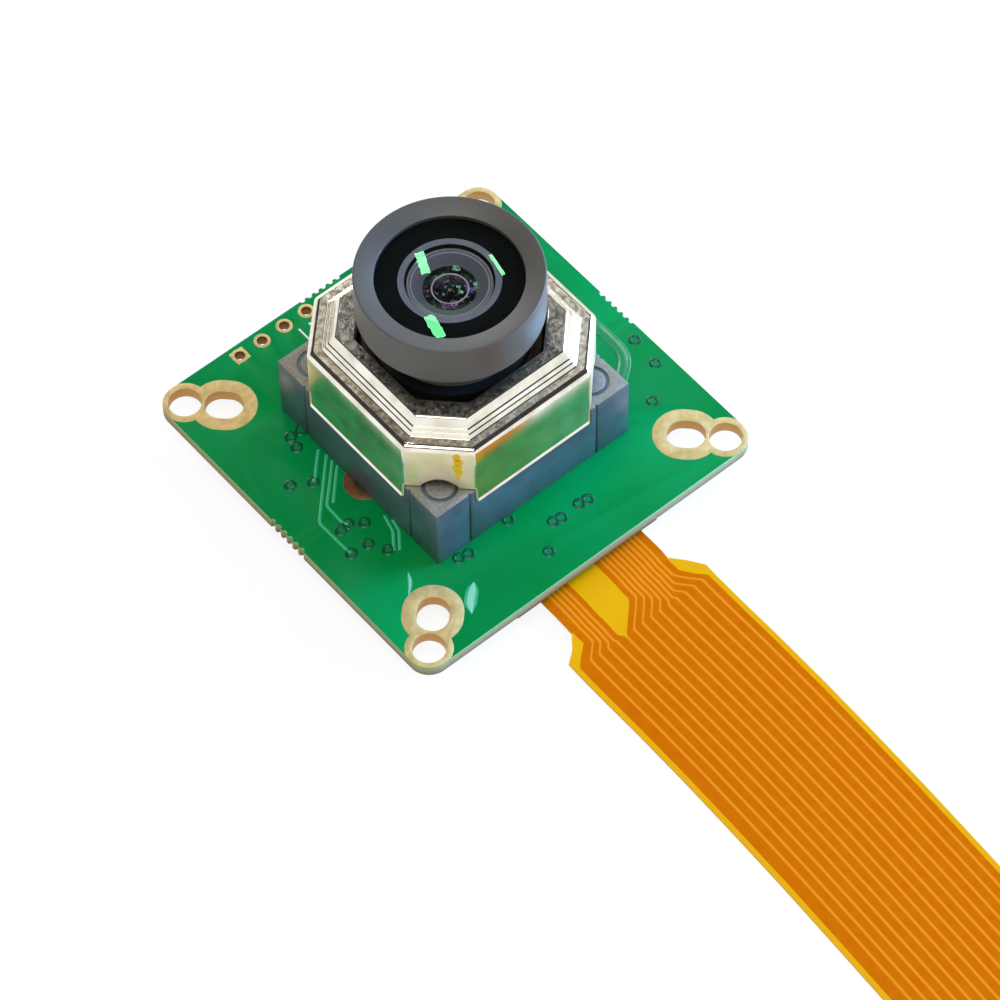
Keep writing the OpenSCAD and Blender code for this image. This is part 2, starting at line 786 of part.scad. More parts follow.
// Plan of what lies inside the can's walls, with a running gap
module inside_can_plan() {
    octagon(can_flat - can_t - spring_gap, can_corner - can_t - spring_gap);
}

module lower_spring() {
    frame_r = chamber_r + 0.1;
    color("goldenrod") translate([0, 0, z_wall]) linear_extrude(spring_t) {
        difference() {
            inside_can_plan();
            circle(r = frame_r);
            quadrants() translate([post_in - 0.1, post_in - 0.1]) square(base_w);
        }
        spring_arms_plan(carrier_r + 0.15, carrier_out_r + 0.3, frame_r);
    }
}

module upper_spring() {
    color("goldenrod") translate([0, 0, z_upper_spring]) linear_extrude(spring_t) {
        difference() {
            inside_can_plan();
            circle(r = upper_frame_r);
        }
        spring_arms_plan(carrier_out_r + 0.05, flange_r - 0.1, upper_frame_r);
    }
}

module spring_spacer() {
    color("dimgray") translate([0, 0, z_spacer]) linear_extrude(spacer_t) difference() {
        inside_can_plan();
        circle(r = upper_frame_r);
    }
}

// Coil terminals, bent down the base's side to the board
module coil_terminals() {
    color("goldenrod") for (side = [-1, 1])
        translate([side * terminal_pitch / 2 - terminal_w / 2, can_flat, z_board]) {
            cube([terminal_w, terminal_t, base_h / 2]);
            cube([terminal_w, terminal_foot, terminal_t]);
        }
}

// ---- moving lens ----

module lens_carrier() {
    color("#20242a") {
        ring(carrier_r, carrier_out_r, z_carrier, carrier_top - z_carrier);
        ring(carrier_r + carrier_wall / 2, flange_r, z_coil - flange_t, flange_t);
        ring(carrier_r + carrier_wall / 2, flange_r, z_coil + coil_h, z_upper_spring - z_coil - coil_h);
    }
}

module focus_coil() {
    color("sienna") ring(carrier_out_r, coil_r, z_coil, coil_h);
}

module lens_barrel() {
    head_r = head_d / 2;
    color("#2b2c2e") rotate_extrude($fn = 128) polygon([
        [rear_group_r, z_barrel],
        [thread_d / 2 - 0.3, z_barrel],
        [thread_d / 2, z_barrel + 0.3],
        [thread_d / 2, z_head - collar_h],
        [collar_d / 2, z_head - collar_h],
        [collar_d / 2, z_head],
        [head_r - head_chamfer, z_head],
        [head_r, z_head + head_chamfer],
        [head_r, z_front - head_chamfer],
        [head_r - head_chamfer, z_front],
        [front_seat_r, z_rim],
        [front_seat_r, z_front_glass],
        [front_group_r, z_front_glass],
        [front_group_r, z_third],
        [aperture_d / 2, z_third],
        [aperture_d / 2, z_aperture],
        [rear_group_r, z_aperture]
    ]);
}

module front_element() {
    r = front_glass_d / 2;
    hollow_r = front_hollow_d / 2;
    color("lightcyan", 0.5) rotate_extrude($fn = 96) polygon(concat(
        crown(r, z_front_glass + front_edge_t, front_crown, 16),
        [for (i = [16:-1:0]) crown(hollow_r, z_front_glass, front_hollow, 16)[i]],
        [[r, z_front_glass]]
    ));
}

module second_element() {
    color("lightcyan", 0.5)
        glass_element(front_group_d / 2, z_second, second_edge_t, -0.4, 0.5);
}

module third_element() {
    color("lightcyan", 0.5)
        glass_element(front_group_d / 2, z_third, third_edge_t, 0.5, 0.3);
}

module fourth_element() {
    color("lightcyan", 0.5)
        glass_element(rear_group_d / 2, z_fourth, fourth_edge_t, -0.4, -0.5);
}

module rear_element() {
    color("lightcyan", 0.5)
        glass_element(rear_group_d / 2, z_rear, rear_edge_t, 0.5, 0.4);
}

module front_spacer() {
    r = front_group_d / 2;
    color("#1b1b1d") ring(r - spacer_w, r, z_front_spacer, front_spacer_h);
}

module rear_spacer() {
    r = rear_group_d / 2;
    color("#1b1b1d") ring(r - spacer_w, r, z_rear_spacer, rear_spacer_h);
}

module retaining_ring() {
    r = rear_group_d / 2;
    color("#1b1b1d") ring(r - spacer_w, r, z_retainer, retainer_h);
}

// ---- cable connector ----

arm_x = (channel_w + connector_w) / 4;
z_arm = -connector_h + arm_inset;
arm_h = connector_h - 2 * arm_inset;

module connector_housing() {
    deep = connector_d - connector_wall;
    color("#e8e0cf") difference() {
        translate([-connector_w / 2, y_mouth, -connector_h])
            cube([connector_w, connector_d, connector_h]);
        // slot for the cable and the latch's tongue
        translate([-channel_w / 2, y_mouth - cut, z_slot_low])
            cube([channel_w, deep + cut, z_slot_top - z_slot_low]);
        // low way out for the contacts
        translate([-channel_w / 2, y_mouth, z_slot_low])
            cube([channel_w, connector_d + cut, contact_t]);
        // channels for the latch's arms
        for (side = [-1, 1])
            translate([side * arm_x - arm_w / 2 - latch_gap, y_mouth - cut, z_arm - latch_gap])
                cube([arm_w + 2 * latch_gap, arm_len + 2 * latch_gap + cut, arm_h + 2 * latch_gap]);
    }
}

// One contact from the side: [y, z], a spring beam in the slot, a riser and a solder tail
module contact_profile() {
    z_tip = z_flex - flex_t / 2 - 0.05;
    polygon([
        [y_mouth + 0.6, z_slot_low], [y_housing + contact_t, z_slot_low],
        [y_housing + contact_t, -contact_t], [y_housing + 0.7, -contact_t],
        [y_housing + 0.7, 0], [y_housing, 0],
        [y_housing, z_slot_low + contact_t], [y_mouth + 2, z_slot_low + contact_t],
        [y_mouth + 1.4, z_tip], [y_mouth + 1.1, z_tip], [y_mouth + 0.6, z_slot_low + contact_t]
    ]);
}

module connector_contacts() {
    color("gold") for (i = [0:contact_count - 1])
        translate([(i - (contact_count - 1) / 2) * contact_pitch - contact_w / 2, 0, 0])
            rotate([90, 0, 90]) linear_extrude(contact_w) contact_profile();
}

// Solder tabs on the ends of the housing
module connector_anchors() {
    tab_t = 0.2;
    tab_len = 2;
    color("silver") for (side = [0, 1]) mirror([side, 0, 0])
        translate([connector_w / 2, y_mouth + connector_d / 2 - tab_len / 2, 0]) {
            translate([0, 0, -connector_h / 2]) cube([tab_t, tab_len, connector_h / 2]);
            translate([0, 0, -tab_t]) cube([0.8, tab_len, tab_t]);
        }
}

module connector_latch() {
    bar_w = connector_w - 0.4;
    window_low = z_flex - flex_t / 2 - 0.2;
    tongue_len = connector_d - 2.2;
    color("#2a2523") {
        difference() {
            translate([-bar_w / 2, y_latch, -connector_h + 0.1])
                cube([bar_w, latch_bar_d, connector_h - 0.2]);
            translate([-channel_w / 2, y_latch - cut, window_low])
                cube([channel_w, latch_bar_d + 2 * cut, z_tongue - window_low]);
        }
        translate([-flex_neck_w / 2, y_mouth - latch_bar_d / 2, z_tongue])
            cube([flex_neck_w, tongue_len + latch_bar_d / 2, tongue_t]);
        for (side = [-1, 1]) translate([side * arm_x - arm_w / 2, y_mouth - latch_bar_d / 2, z_arm])
            cube([arm_w, arm_len + latch_bar_d / 2, arm_h]);
    }
}

// ---- flex cable ----

// Direction of the route in plan at point i
function route_way(i) = let (
        a = flex_route[max(i - 1, 0)], b = flex_route[min(i + 1, len(flex_route) - 1)],
        d = [b[0] - a[0], b[1] - a[1]]
    ) d / norm(d);

// Four corners of the flat cable's section at point i
function route_ring(i) = let (p = flex_route[i], way = route_way(i), h = p[3] / 2) [
    for (s = [[-1, -1], [1, -1], [1, 1], [-1, 1]])
        [p[0] - s[0] * way[1] * h, p[1] + s[0] * way[0] * h, p[2] + s[1] * flex_t / 2]
];

module flex_cable() {
    count = len(flex_route);
    points = [for (i = [0:count - 1]) for (q = route_ring(i)) q];
    sides = [for (i = [0:count - 2]) for (k = [0:3])
        [4 * i + k, 4 * i + (k + 1) % 4, 4 * (i + 1) + (k + 1) % 4, 4 * (i + 1) + k]];
    color("orange") polyhedron(points = points, faces = concat(
        sides, [[3, 2, 1, 0]], [[for (k = [0:3]) 4 * (count - 1) + k]]
    ), convexity = 4);
}

module near_stiffener() {
    color("darkorange") translate([-flex_neck_w / 2, y_mouth + 0.3, z_flex + flex_t / 2])
        cube([flex_neck_w, y_flex_end - y_mouth - 0.3, stiffener_t]);
}

module near_contacts() {
    color("gold") for (i = [0:contact_count - 1])
        translate([
            (i - (contact_count - 1) / 2) * contact_pitch - near_contact_w / 2,
            y_flex_end - near_contact_len, z_flex - flex_t / 2 - contact_leaf
        ]) cube([near_contact_w, near_contact_len, contact_leaf]);
}

route_end = flex_route[len(flex_route) - 1];

module far_stiffener() {
    color("royalblue")
        translate([route_end[0] - flex_w / 2, route_end[1], route_end[2] - flex_t / 2 - stiffener_t])
            cube([flex_w, far_stiffener_len, stiffener_t]);
}

module far_contacts() {
    color("gold") for (i = [0:far_contact_count - 1])
        translate([
            route_end[0] + (i - (far_contact_count - 1) / 2) * far_contact_pitch - far_contact_w / 2,
            route_end[1], route_end[2] + flex_t / 2
        ]) cube([far_contact_w, far_contact_len, contact_leaf]);
}

// ---- parts on the rear of the board ----

// Their places are fractions of half the board's side, so that they keep together with it
inductor_at = half_board * [0.647, 0.453];
inductor_capacitor_at = inductor_at - half_board * [0, 0.18];
regulator_at = [for (i = [0:2]) half_board * [0.263 * i - 0.342, 0.605]];
regulator_capacitor_dy = half_board * 0.163;
oscillator_at = half_board * [0.242, 0.168];
driver_at = half_board * [-0.263, -0.032];
memory_at = half_board * [-0.263, 0.21];
small_pitch = half_board * 0.09;
small_rows = half_board * [-0.232, -0.316];
side_row = half_board * 0.453;
resistor_row = half_board * -0.516;
end_place = half_board * [0.505, -0.453];
large_at = concat(
    [for (p = regulator_at) for (side = [-1, 1]) p + [0, side * regulator_capacitor_dy]],
    [for (side = [-1, 1]) [side * inductor_capacitor_at[0], inductor_capacitor_at[1]]]
);
small_at = concat(
    [for (i = [-3:3]) for (y = small_rows) [i * small_pitch, y]],
    [for (side = [-1, 1]) [side * end_place[0], end_place[1]]]
);
resistor_at = concat(
    [for (i = [-4:4]) [i * small_pitch, resistor_row]],
    [for (side = [-1, 1]) for (y = small_rows) [side * side_row, y]]
);

// Block under the board, centred at a place in plan
module hung(place, w, d, h) {
    translate([place[0] - w / 2, place[1] - d / 2, -h]) cube([w, d, h]);
}

// Body of a two-ended part along X, and its metal ends
module chip_body(place, w, d, h) {
    hung(place, w / 2, d, h);
}

module chip_ends(place, w, d, h) {
    for (side = [-1, 1]) hung(place + [side * w * 3 / 8, 0], w / 4, d, h);
}

module power_inductors() {
    color("#4a4a4c") for (side = [-1, 1])
        hung([side * inductor_at[0], inductor_at[1]], inductor_w, inductor_w, connector_h);
}

module voltage_regulators() {
    color("#1f1f21") for (p = regulator_at)
        translate([0, 0, -regulator_stand]) hung(p, regulator_w, regulator_d, regulator_h - regulator_stand);
}

// Two leads on one side of each regulator and three on the other
module regulator_leads() {
    color("silver") for (p = regulator_at) for (side = [-1, 1]) for (i = side > 0 ? [-1, 1] : [-1, 0, 1]) {
        hung(p + [lead_pitch * i, side * (regulator_d + lead_len) / 2], lead_w, lead_len, lead_t);
        hung(p + [lead_pitch * i, side * (regulator_d + lead_t) / 2], lead_w, lead_t, regulator_h / 2);
    }
}

module clock_oscillator() {
    color("silver") hung(oscillator_at, oscillator_w, oscillator_d, oscillator_h);
}

module actuator_driver() {
    color("#1f1f21") hung(driver_at, driver_w, driver_w, chip_h);
}

module memory_chip() {
    color("#1f1f21") hung(memory_at, memory_w, memory_d, chip_h);
}

module capacitor_bodies() {
    color("tan") {
        for (p = large_at) chip_body(p, capacitor_w, capacitor_d, capacitor_d);
        for (p = small_at) chip_body(p, small_w, small_d, small_d);
    }
}

module capacitor_ends() {
    color("silver") {
        for (p = large_at) chip_ends(p, capacitor_w, capacitor_d, capacitor_d);
        for (p = small_at) chip_ends(p, small_w, small_d, small_d);
    }
}

module resistor_bodies() {
    color("#1f1f21") for (p = resistor_at) chip_body(p, small_w, small_d, resistor_h);
}

module resistor_ends() {
    color("silver") for (p = resistor_at) chip_ends(p, small_w, small_d, resistor_h);
}

circuit_board();
corner_lands();
header_lands();
holder_lands();
sensor_package();
sensor_die();
sensor_cover_glass();
infrared_filter();
actuator_base();
actuator_can();
yoke_magnets();
spring_spacer();
lower_spring();
upper_spring();
coil_terminals();
lens_carrier();
focus_coil();
lens_barrel();
front_element();
second_element();
third_element();
fourth_element();
rear_element();
front_spacer();
rear_spacer();
retaining_ring();
connector_housing();
connector_contacts();
connector_anchors();
connector_latch();
flex_cable();
near_stiffener();
near_contacts();
far_stiffener();
far_contacts();
power_inductors();
voltage_regulators();
regulator_leads();
clock_oscillator();
actuator_driver();
memory_chip();
capacitor_bodies();
capacitor_ends();
resistor_bodies();
resistor_ends();
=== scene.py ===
"""Autofocus camera module: the looks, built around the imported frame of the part.

The row frame is kept throughout: +Z is the optical axis, the origin is the centre of the
four corner holes on the rear face of the board, and the flex cable leaves along -Y.
Sizes in this file are millimetres, and MM turns them to metres where meshes are made.
"""

from __future__ import annotations

import logging
import math
from collections.abc import Callable, Iterable, Sequence
from dataclasses import dataclass, field

import bmesh
import bpy
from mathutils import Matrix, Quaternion, Vector

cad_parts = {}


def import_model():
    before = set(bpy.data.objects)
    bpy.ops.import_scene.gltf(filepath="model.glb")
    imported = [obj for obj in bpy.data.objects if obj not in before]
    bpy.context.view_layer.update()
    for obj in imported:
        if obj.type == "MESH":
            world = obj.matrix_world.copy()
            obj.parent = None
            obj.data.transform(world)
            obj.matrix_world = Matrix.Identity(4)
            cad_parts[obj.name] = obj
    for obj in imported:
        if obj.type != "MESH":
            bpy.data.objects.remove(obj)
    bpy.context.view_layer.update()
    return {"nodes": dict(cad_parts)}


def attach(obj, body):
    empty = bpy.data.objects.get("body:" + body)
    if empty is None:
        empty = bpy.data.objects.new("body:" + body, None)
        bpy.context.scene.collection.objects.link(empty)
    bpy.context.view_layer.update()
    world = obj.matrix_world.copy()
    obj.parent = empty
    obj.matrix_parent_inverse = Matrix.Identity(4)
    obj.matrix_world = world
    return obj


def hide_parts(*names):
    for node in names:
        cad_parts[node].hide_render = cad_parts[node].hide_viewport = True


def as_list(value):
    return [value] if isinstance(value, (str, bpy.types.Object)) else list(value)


log = logging.getLogger("camera_module")

MM = 0.001

Point = tuple[float, float, float]
Plan = tuple[float, float]


# ---------------------------------------------------------------- colours and nodes


def linear(code: str) -> tuple[float, float, float, float]:
    """Turn an sRGB hex colour to linear light.

    Args:
        code: The colour, such as "#1f8a4c".

    Returns:
        Red, green, blue and an alpha of 1.
    """
    parts = [int(code[i : i + 2], 16) / 255 for i in (1, 3, 5)]
    lin = [p / 12.92 if p <= 0.04045 else ((p + 0.055) / 1.055) ** 2.4 for p in parts]
    return (lin[0], lin[1], lin[2], 1.0)


def add_node(
    tree: bpy.types.NodeTree, kind: str, inputs: dict | None = None, **settings: object
) -> bpy.types.Node:
    """Add one node with its settings, values and links.

    Args:
        tree: The node tree that gets the node.
        kind: The node's type, such as "ShaderNodeTexNoise".
        inputs: Values, or sockets to link from, by the name or number of the input.
        settings: Properties of the node.

    Returns:
        The new node.
    """
    node = tree.nodes.new(kind)
    for name, value in settings.items():
        setattr(node, name, value)
    for key, value in (inputs or {}).items():
        if isinstance(value, bpy.types.NodeSocket):
            tree.links.new(value, node.inputs[key])
        else:
            node.inputs[key].default_value = value
    return node


def ramp(
    tree: bpy.types.NodeTree, source: bpy.types.NodeSocket, stops: Sequence[tuple[float, str]]
) -> bpy.types.NodeSocket:
    """Colour a value by stops.

    Args:
        tree: The node tree.
        source: The value, from 0 to 1.
        stops: Place and sRGB hex colour of each stop.

    Returns:
        The colour socket.
    """
    node = add_node(tree, "ShaderNodeValToRGB", {"Fac": source})
    elements = node.color_ramp.elements
    while len(elements) < len(stops):
        elements.new(0.5)
    for element, (place, code) in zip(elements, stops):
        element.position = place
        element.color = linear(code)
    return node.outputs["Color"]


# ---------------------------------------------------------------- finishes


@dataclass(frozen=True)
class Finish:
    """A surface finish, which makes one material the first time that a piece asks for it."""

    def material(self) -> bpy.types.Material:
        """Return the finish's material, and make it on first use."""
        name = type(self).__name__ + self.mark()
        found = bpy.data.materials.get(name)
        if found:
            return found
        made = bpy.data.materials.new(name)
        made.use_nodes = True
        self.dress(made.node_tree, made.node_tree.nodes["Principled BSDF"])
        return made

    def mark(self) -> str:
        """Return what tells this finish from others of its class."""
        return ""

    def dress(self, tree: bpy.types.NodeTree, shader: bpy.types.Node) -> None:
        """Set the shader's sockets and link its patterns.

        Args:
            tree: The material's node tree.
            shader: Its Principled shader.
        """
        raise NotImplementedError

    def set(self, shader: bpy.types.Node, **values: object) -> None:
        """Set sockets of the shader by name, with underscores for spaces."""
        for name, value in values.items():
            shader.inputs[name.replace("_", " ")].default_value = value

    def place(self, tree: bpy.types.NodeTree) -> bpy.types.NodeSocket:
        """Return the object's own coordinates, in metres."""
        return add_node(tree, "ShaderNodeTexCoord").outputs["Object"]

    def grain(
        self, tree: bpy.types.NodeTree, size: float, detail: float = 2.0, rough: float = 0.5
    ) -> bpy.types.NodeSocket:
        """Make a noise whose lumps have a real size.

        Args:
            tree: The material's node tree.
            size: Size of a lump in millimetres.
            detail: Number of finer layers.
            rough: Strength of the finer layers.

        Returns:
            The noise's value socket.
        """
        node = add_node(
            tree,
            "ShaderNodeTexNoise",
            {
                "Vector": self.place(tree),
                "Scale": 1 / (size * MM),
                "Detail": detail,
                "Roughness": rough,
            },
        )
        return node.outputs["Fac"]

    def bump(
        self,
        tree: bpy.types.NodeTree,
        shader: bpy.types.Node,
        height: bpy.types.NodeSocket,
        depth: float,
        strength: float = 1.0,
    ) -> None:
        """Raise the surface by a height pattern.

        Args:
            tree: The material's node tree.
            shader: The shader that gets the normal.
            height: The pattern, from 0 to 1.
            depth: Height of the pattern in millimetres.
            strength: Strength of the bump.
        """
        node = add_node(
            tree,
            "ShaderNodeBump",
            {"Height": height, "Distance": depth * MM, "Strength": strength},
        )
        tree.links.new(node.outputs["Normal"], shader.inputs["Normal"])


@dataclass(frozen=True)
class SolderMask(Finish):
    """Green epoxy ink, screened over copper and cured: even, slightly wavy and satin."""

    deep: str = "#008a40"
    bright: str = "#00924e"

    def dress(self, tree: bpy.types.NodeTree, shader: bpy.types.Node) -> None:
        """Set a saturated green that clouds softly, over a faint ripple."""
        cloud = self.grain(tree, 9.0, 3.0)
        tree.links.new(
            ramp(tree, cloud, ((0.3, self.deep), (0.7, self.bright))), shader.inputs["Base Color"]
        )
        self.set(shader, Roughness=0.3, Specular_IOR_Level=0.08)
        self.bump(tree, shader, self.grain(tree, 0.45, 1.0), 0.008)


@dataclass(frozen=True)
class RaisedMask(Finish):
    """The same green ink where it swells over a track: paler, partly as thin ink over copper and
    partly as a painted highlight, and glossy.
    """

    colour: str = "#3fc28e"

    def mark(self) -> str:
        """Return the colour, which tells narrow tracks from wide ones."""
        return self.colour

    def dress(self, tree: bpy.types.NodeTree, shader: bpy.types.Node) -> None:
        """Set the pale green, partly painted highlight, with a high gloss."""
        # the pale mint is in part a painted highlight along the tracks
        self.set(shader, Base_Color=linear(self.colour), Roughness=0.16, Specular_IOR_Level=0.8)


@dataclass(frozen=True)
class TentedVia(Finish):
    """Ink over a plated hole: a darker green than the board's ink, and glossy."""

    def dress(self, tree: bpy.types.NodeTree, shader: bpy.types.Node) -> None:
        """Set the darker green with a high gloss."""
        self.set(shader, Base_Color=linear("#015c3c"), Roughness=0.2, Specular_IOR_Level=0.3)


@dataclass(frozen=True)
class EpoxyLaminate(Finish):
    """Sawn edge of woven glass and epoxy: beige, browner below, pale green under the ink."""

    thickness: float = 1.2

    def dress(self, tree: bpy.types.NodeTree, shader: bpy.types.Node) -> None:
        """Set bands by height, blurred by the torn ends of the weave, about 0.5 mm long."""
        height = add_node(tree, "ShaderNodeSeparateXYZ", {0: self.place(tree)}).outputs["Z"]
        share = add_node(
            tree, "ShaderNodeMath", {0: height, 1: self.thickness * MM}, operation="DIVIDE"
        )
        torn = add_node(
            tree,
            "ShaderNodeMath",
            {0: self.grain(tree, 0.5, 3.0), 1: 0.3, 2: share.outputs[0]},
            operation="MULTIPLY_ADD",
        )
        bands = (
            (0.2, "#857a62"), (0.55, "#a89c72"), (0.85, "#b3ab7a"), (1.0, "#9fc08a"),
            (1.15, "#8fcf9a"),
        )
        scaled = add_node(
            tree, "ShaderNodeMath", {0: torn.outputs[0], 1: 1.3}, operation="DIVIDE"
        )
        tree.links.new(
            ramp(tree, scaled.outputs[0], [(at / 1.3, code) for at, code in bands]),
            shader.inputs["Base Color"],
        )
        self.set(shader, Roughness=0.7, Specular_IOR_Level=0.3)


@dataclass(frozen=True)
class ImmersionGold(Finish):
    """Thin gold over etched nickel on copper: pale and matt, since the etch is rough."""

    def dress(self, tree: bpy.types.NodeTree, shader: bpy.types.Node) -> None:
        """Set a pale gold that mottles by about 1 mm, with an etch of about 0.1 mm."""
        tint = ramp(
            tree,
            self.grain(tree, 0.8, 3.0),
            ((0.3, "#c8b274"), (0.5, "#dac07e"), (0.7, "#e9cc90")),
        )
        tree.links.new(tint, shader.inputs["Base Color"])
        self.set(shader, Metallic=0.45, Roughness=0.55)
        self.bump(tree, shader, self.grain(tree, 0.12, 2.0), 0.01)


@dataclass(frozen=True)
class HolderLandPaintedShade(Finish):
    """Gold on the holder lands, browned by painted shade: the base's shadow and the dark wall it
    mirrors are painted into its colour.
    """

    def dress(self, tree: bpy.types.NodeTree, shader: bpy.types.Node) -> None:
        """Set a copper-like brown of painted shade, which mottles by about 0.5 mm."""
        # painted shade: this brown stands in for gold lying in the base's shadow
        tint = ramp(tree, self.grain(tree, 0.5, 3.0), ((0.35, "#6f4a2c"), (0.7, "#8d5a36")))
        tree.links.new(tint, shader.inputs["Base Color"])
        self.set(shader, Metallic=0.3, Roughness=0.4)


@dataclass(frozen=True)
class PlatedWall(Finish):
    """Gold on the wall of a drilled hole: duller and warmer than the lands as painted shade and
    painted reflection, darkest in narrow and shaded holes.
    """

    colour: str = "#cf9d57"

    def mark(self) -> str:
        """Return the colour, which tells wide holes from narrow ones."""
        return self.colour

    def dress(self, tree: bpy.types.NodeTree, shader: bpy.types.Node) -> None:
        """Set the duller metal."""
        self.set(shader, Base_Color=linear(self.colour), Metallic=0.5, Roughness=0.5)


@dataclass(frozen=True)
class NickelSheet(Finish):
    """Nickel-plated steel sheet, deep drawn: bright and smooth where the die stretched it."""

    def dress(self, tree: bpy.types.NodeTree, shader: bpy.types.Node) -> None:
        """Set the metal: clear on the bends and slopes, satin on the narrow faces, whose cream
        tint is painted reflection.
        """
        facing = add_node(tree, "ShaderNodeTexCoord").outputs["Normal"]
        split = add_node(tree, "ShaderNodeSeparateXYZ", {0: facing})
        skew = add_node(
            tree,
            "ShaderNodeMath",
            {0: split.outputs["X"], 1: split.outputs["Y"]},
            operation="MULTIPLY",
        )
        narrow = add_node(tree, "ShaderNodeMath", {0: skew.outputs[0]}, operation="ABSOLUTE")
        up = add_node(tree, "ShaderNodeMath", {0: split.outputs["Z"]}, operation="ABSOLUTE")
        upright = add_node(
            tree, "ShaderNodeMapRange", {"Value": up.outputs[0], 1: 0.1, 2: 0.35, 3: 0.21, 4: 0.13}
        )
        rough = add_node(
            tree,
            "ShaderNodeMapRange",
            {"Value": narrow.outputs[0], 1: 0.38, 2: 0.5, 3: upright.outputs["Result"], 4: 0.5},
        )
        clear = ramp(
            tree,
            self.grain(tree, 2.2, 2.0),
            ((0.3, "#dcd7c8"), (0.5, "#f1ecdd"), (0.7, "#fbf8ee")),
        )
        # painted reflection: the narrow faces' cream stands in for the bright surroundings that
        # they mirror
        painted_cream_reflection = ramp(tree, self.grain(tree, 2.6, 2.0), ((0.35, "#e9e6b8"), (0.6, "#fff0d2")))
        share = add_node(
            tree, "ShaderNodeMapRange", {"Value": narrow.outputs[0], 1: 0.46, 2: 0.5}
        )
        tint = add_node(
            tree,
            "ShaderNodeMix",
            {0: share.outputs["Result"], 6: clear, 7: painted_cream_reflection},
            data_type="RGBA",
        )
        tree.links.new(tint.outputs[2], shader.inputs["Base Color"])
        tree.links.new(rough.outputs["Result"], shader.inputs["Roughness"])
        self.set(shader, Metallic=1.0)
        self.bump(tree, shader, self.grain(tree, 0.9, 2.0), 0.006)


@dataclass(frozen=True)
class PeeledNickel(Finish):
    """The same sheet on its flats, which the die left loose: an orange peel that sparkles; its
    plateau copy is darkened as painted reflection.
    """

    label: str = "ledge"
    dark: str = "#857c69"
    light: str = "#f0e6d0"
    rough: float = 0.34
    depth: float = 0.08

    def mark(self) -> str:
        """Return the flat's label."""
        return self.label

    def dress(self, tree: bpy.types.NodeTree, shader: bpy.types.Node) -> None:
        """Set a mottled metal over a peel of about 0.4 mm."""
        tint = ramp(
            tree, self.grain(tree, 0.5, 4.0, 0.7), ((0.36, self.dark), (0.64, self.light))
        )
        tree.links.new(tint, shader.inputs["Base Color"])
        self.set(shader, Metallic=1.0, Roughness=self.rough)
        self.bump(tree, shader, self.grain(tree, 0.4, 4.0, 0.7), self.depth)


@dataclass(frozen=True)
class LiquidCrystalPolymer(Finish):
    """Dark liquid-crystal polymer, injection moulded: satin, with slight flow marks."""

    def dress(self, tree: bpy.types.NodeTree, shader: bpy.types.Node) -> None:
        """Set a blue-black satin over flow marks about 1 mm long."""
        tint = ramp(tree, self.grain(tree, 2.5, 2.0), ((0.3, "#44545c"), (0.7, "#55666f")))
        tree.links.new(tint, shader.inputs["Base Color"])
        self.set(shader, Roughness=0.3, IOR=1.6)
        self.bump(tree, shader, self.grain(tree, 1.1, 2.0), 0.01)


@dataclass(frozen=True)
class PaintedLightPostTop(Finish):
    """The base's polymer on the tops of the posts, made pale and satin to paint the light that
    falls on them from above.
    """

    def dress(self, tree: bpy.types.NodeTree, shader: bpy.types.Node) -> None:
        """Set the pale grey of the painted top light, with a fine grain."""
        tint = ramp(tree, self.grain(tree, 0.3, 3.0), ((0.3, "#7d7a72"), (0.7, "#9a968c")))
        tree.links.new(tint, shader.inputs["Base Color"])
        self.set(shader, Roughness=0.45)


@dataclass(frozen=True)
class BlackAnodised(Finish):
    """Turned and blasted aluminium, black anodised: matt and even, with faint turning marks."""

    def dress(self, tree: bpy.types.NodeTree, shader: bpy.types.Node) -> None:
        """Set the blasted and dyed oxide over turning rings 0.12 mm apart."""
        wave = add_node(
            tree,
            "ShaderNodeTexWave",
            {
                "Vector": self.place(tree),
                "Scale": 1 / (0.12 * MM) / math.tau,
                "Distortion": 0.6,
                "Detail": 1.0,
            },
            wave_type="RINGS",
            rings_direction="Z",
        )
        self.set(shader, Base_Color=linear("#4c4943"), Roughness=0.42, IOR=1.65)
        self.bump(tree, shader, wave.outputs["Fac"], 0.001)


@dataclass(frozen=True)
class MattBlack(Finish):
    """Black paint on the edges and seats of the glass: flat, so that it swallows light."""

    def dress(self, tree: bpy.types.NodeTree, shader: bpy.types.Node) -> None:
        """Set the flat black."""
        self.set(shader, Base_Color=linear("#060606"), Roughness=0.75, Specular_IOR_Level=0.2)


@dataclass(frozen=True)
class CoatedGlass(Finish):
    """Optical glass with a magnesium-fluoride coating, whose reflections are tinted."""

    tint: str = "#8f7bff"
    gloss: float = 0.25

    def mark(self) -> str:
        """Return the tint and the gloss, which tell the coatings apart."""
        return f"{self.tint}_{self.gloss}"

    def dress(self, tree: bpy.types.NodeTree, shader: bpy.types.Node) -> None:
        """Set clear glass with a tinted reflection."""
        self.set(
            shader,
            Base_Color=(1, 1, 1, 1),
            Roughness=0.0,
            IOR=1.5,
            Transmission_Weight=1.0,
            Specular_IOR_Level=self.gloss,
            Specular_Tint=linear(self.tint),
        )


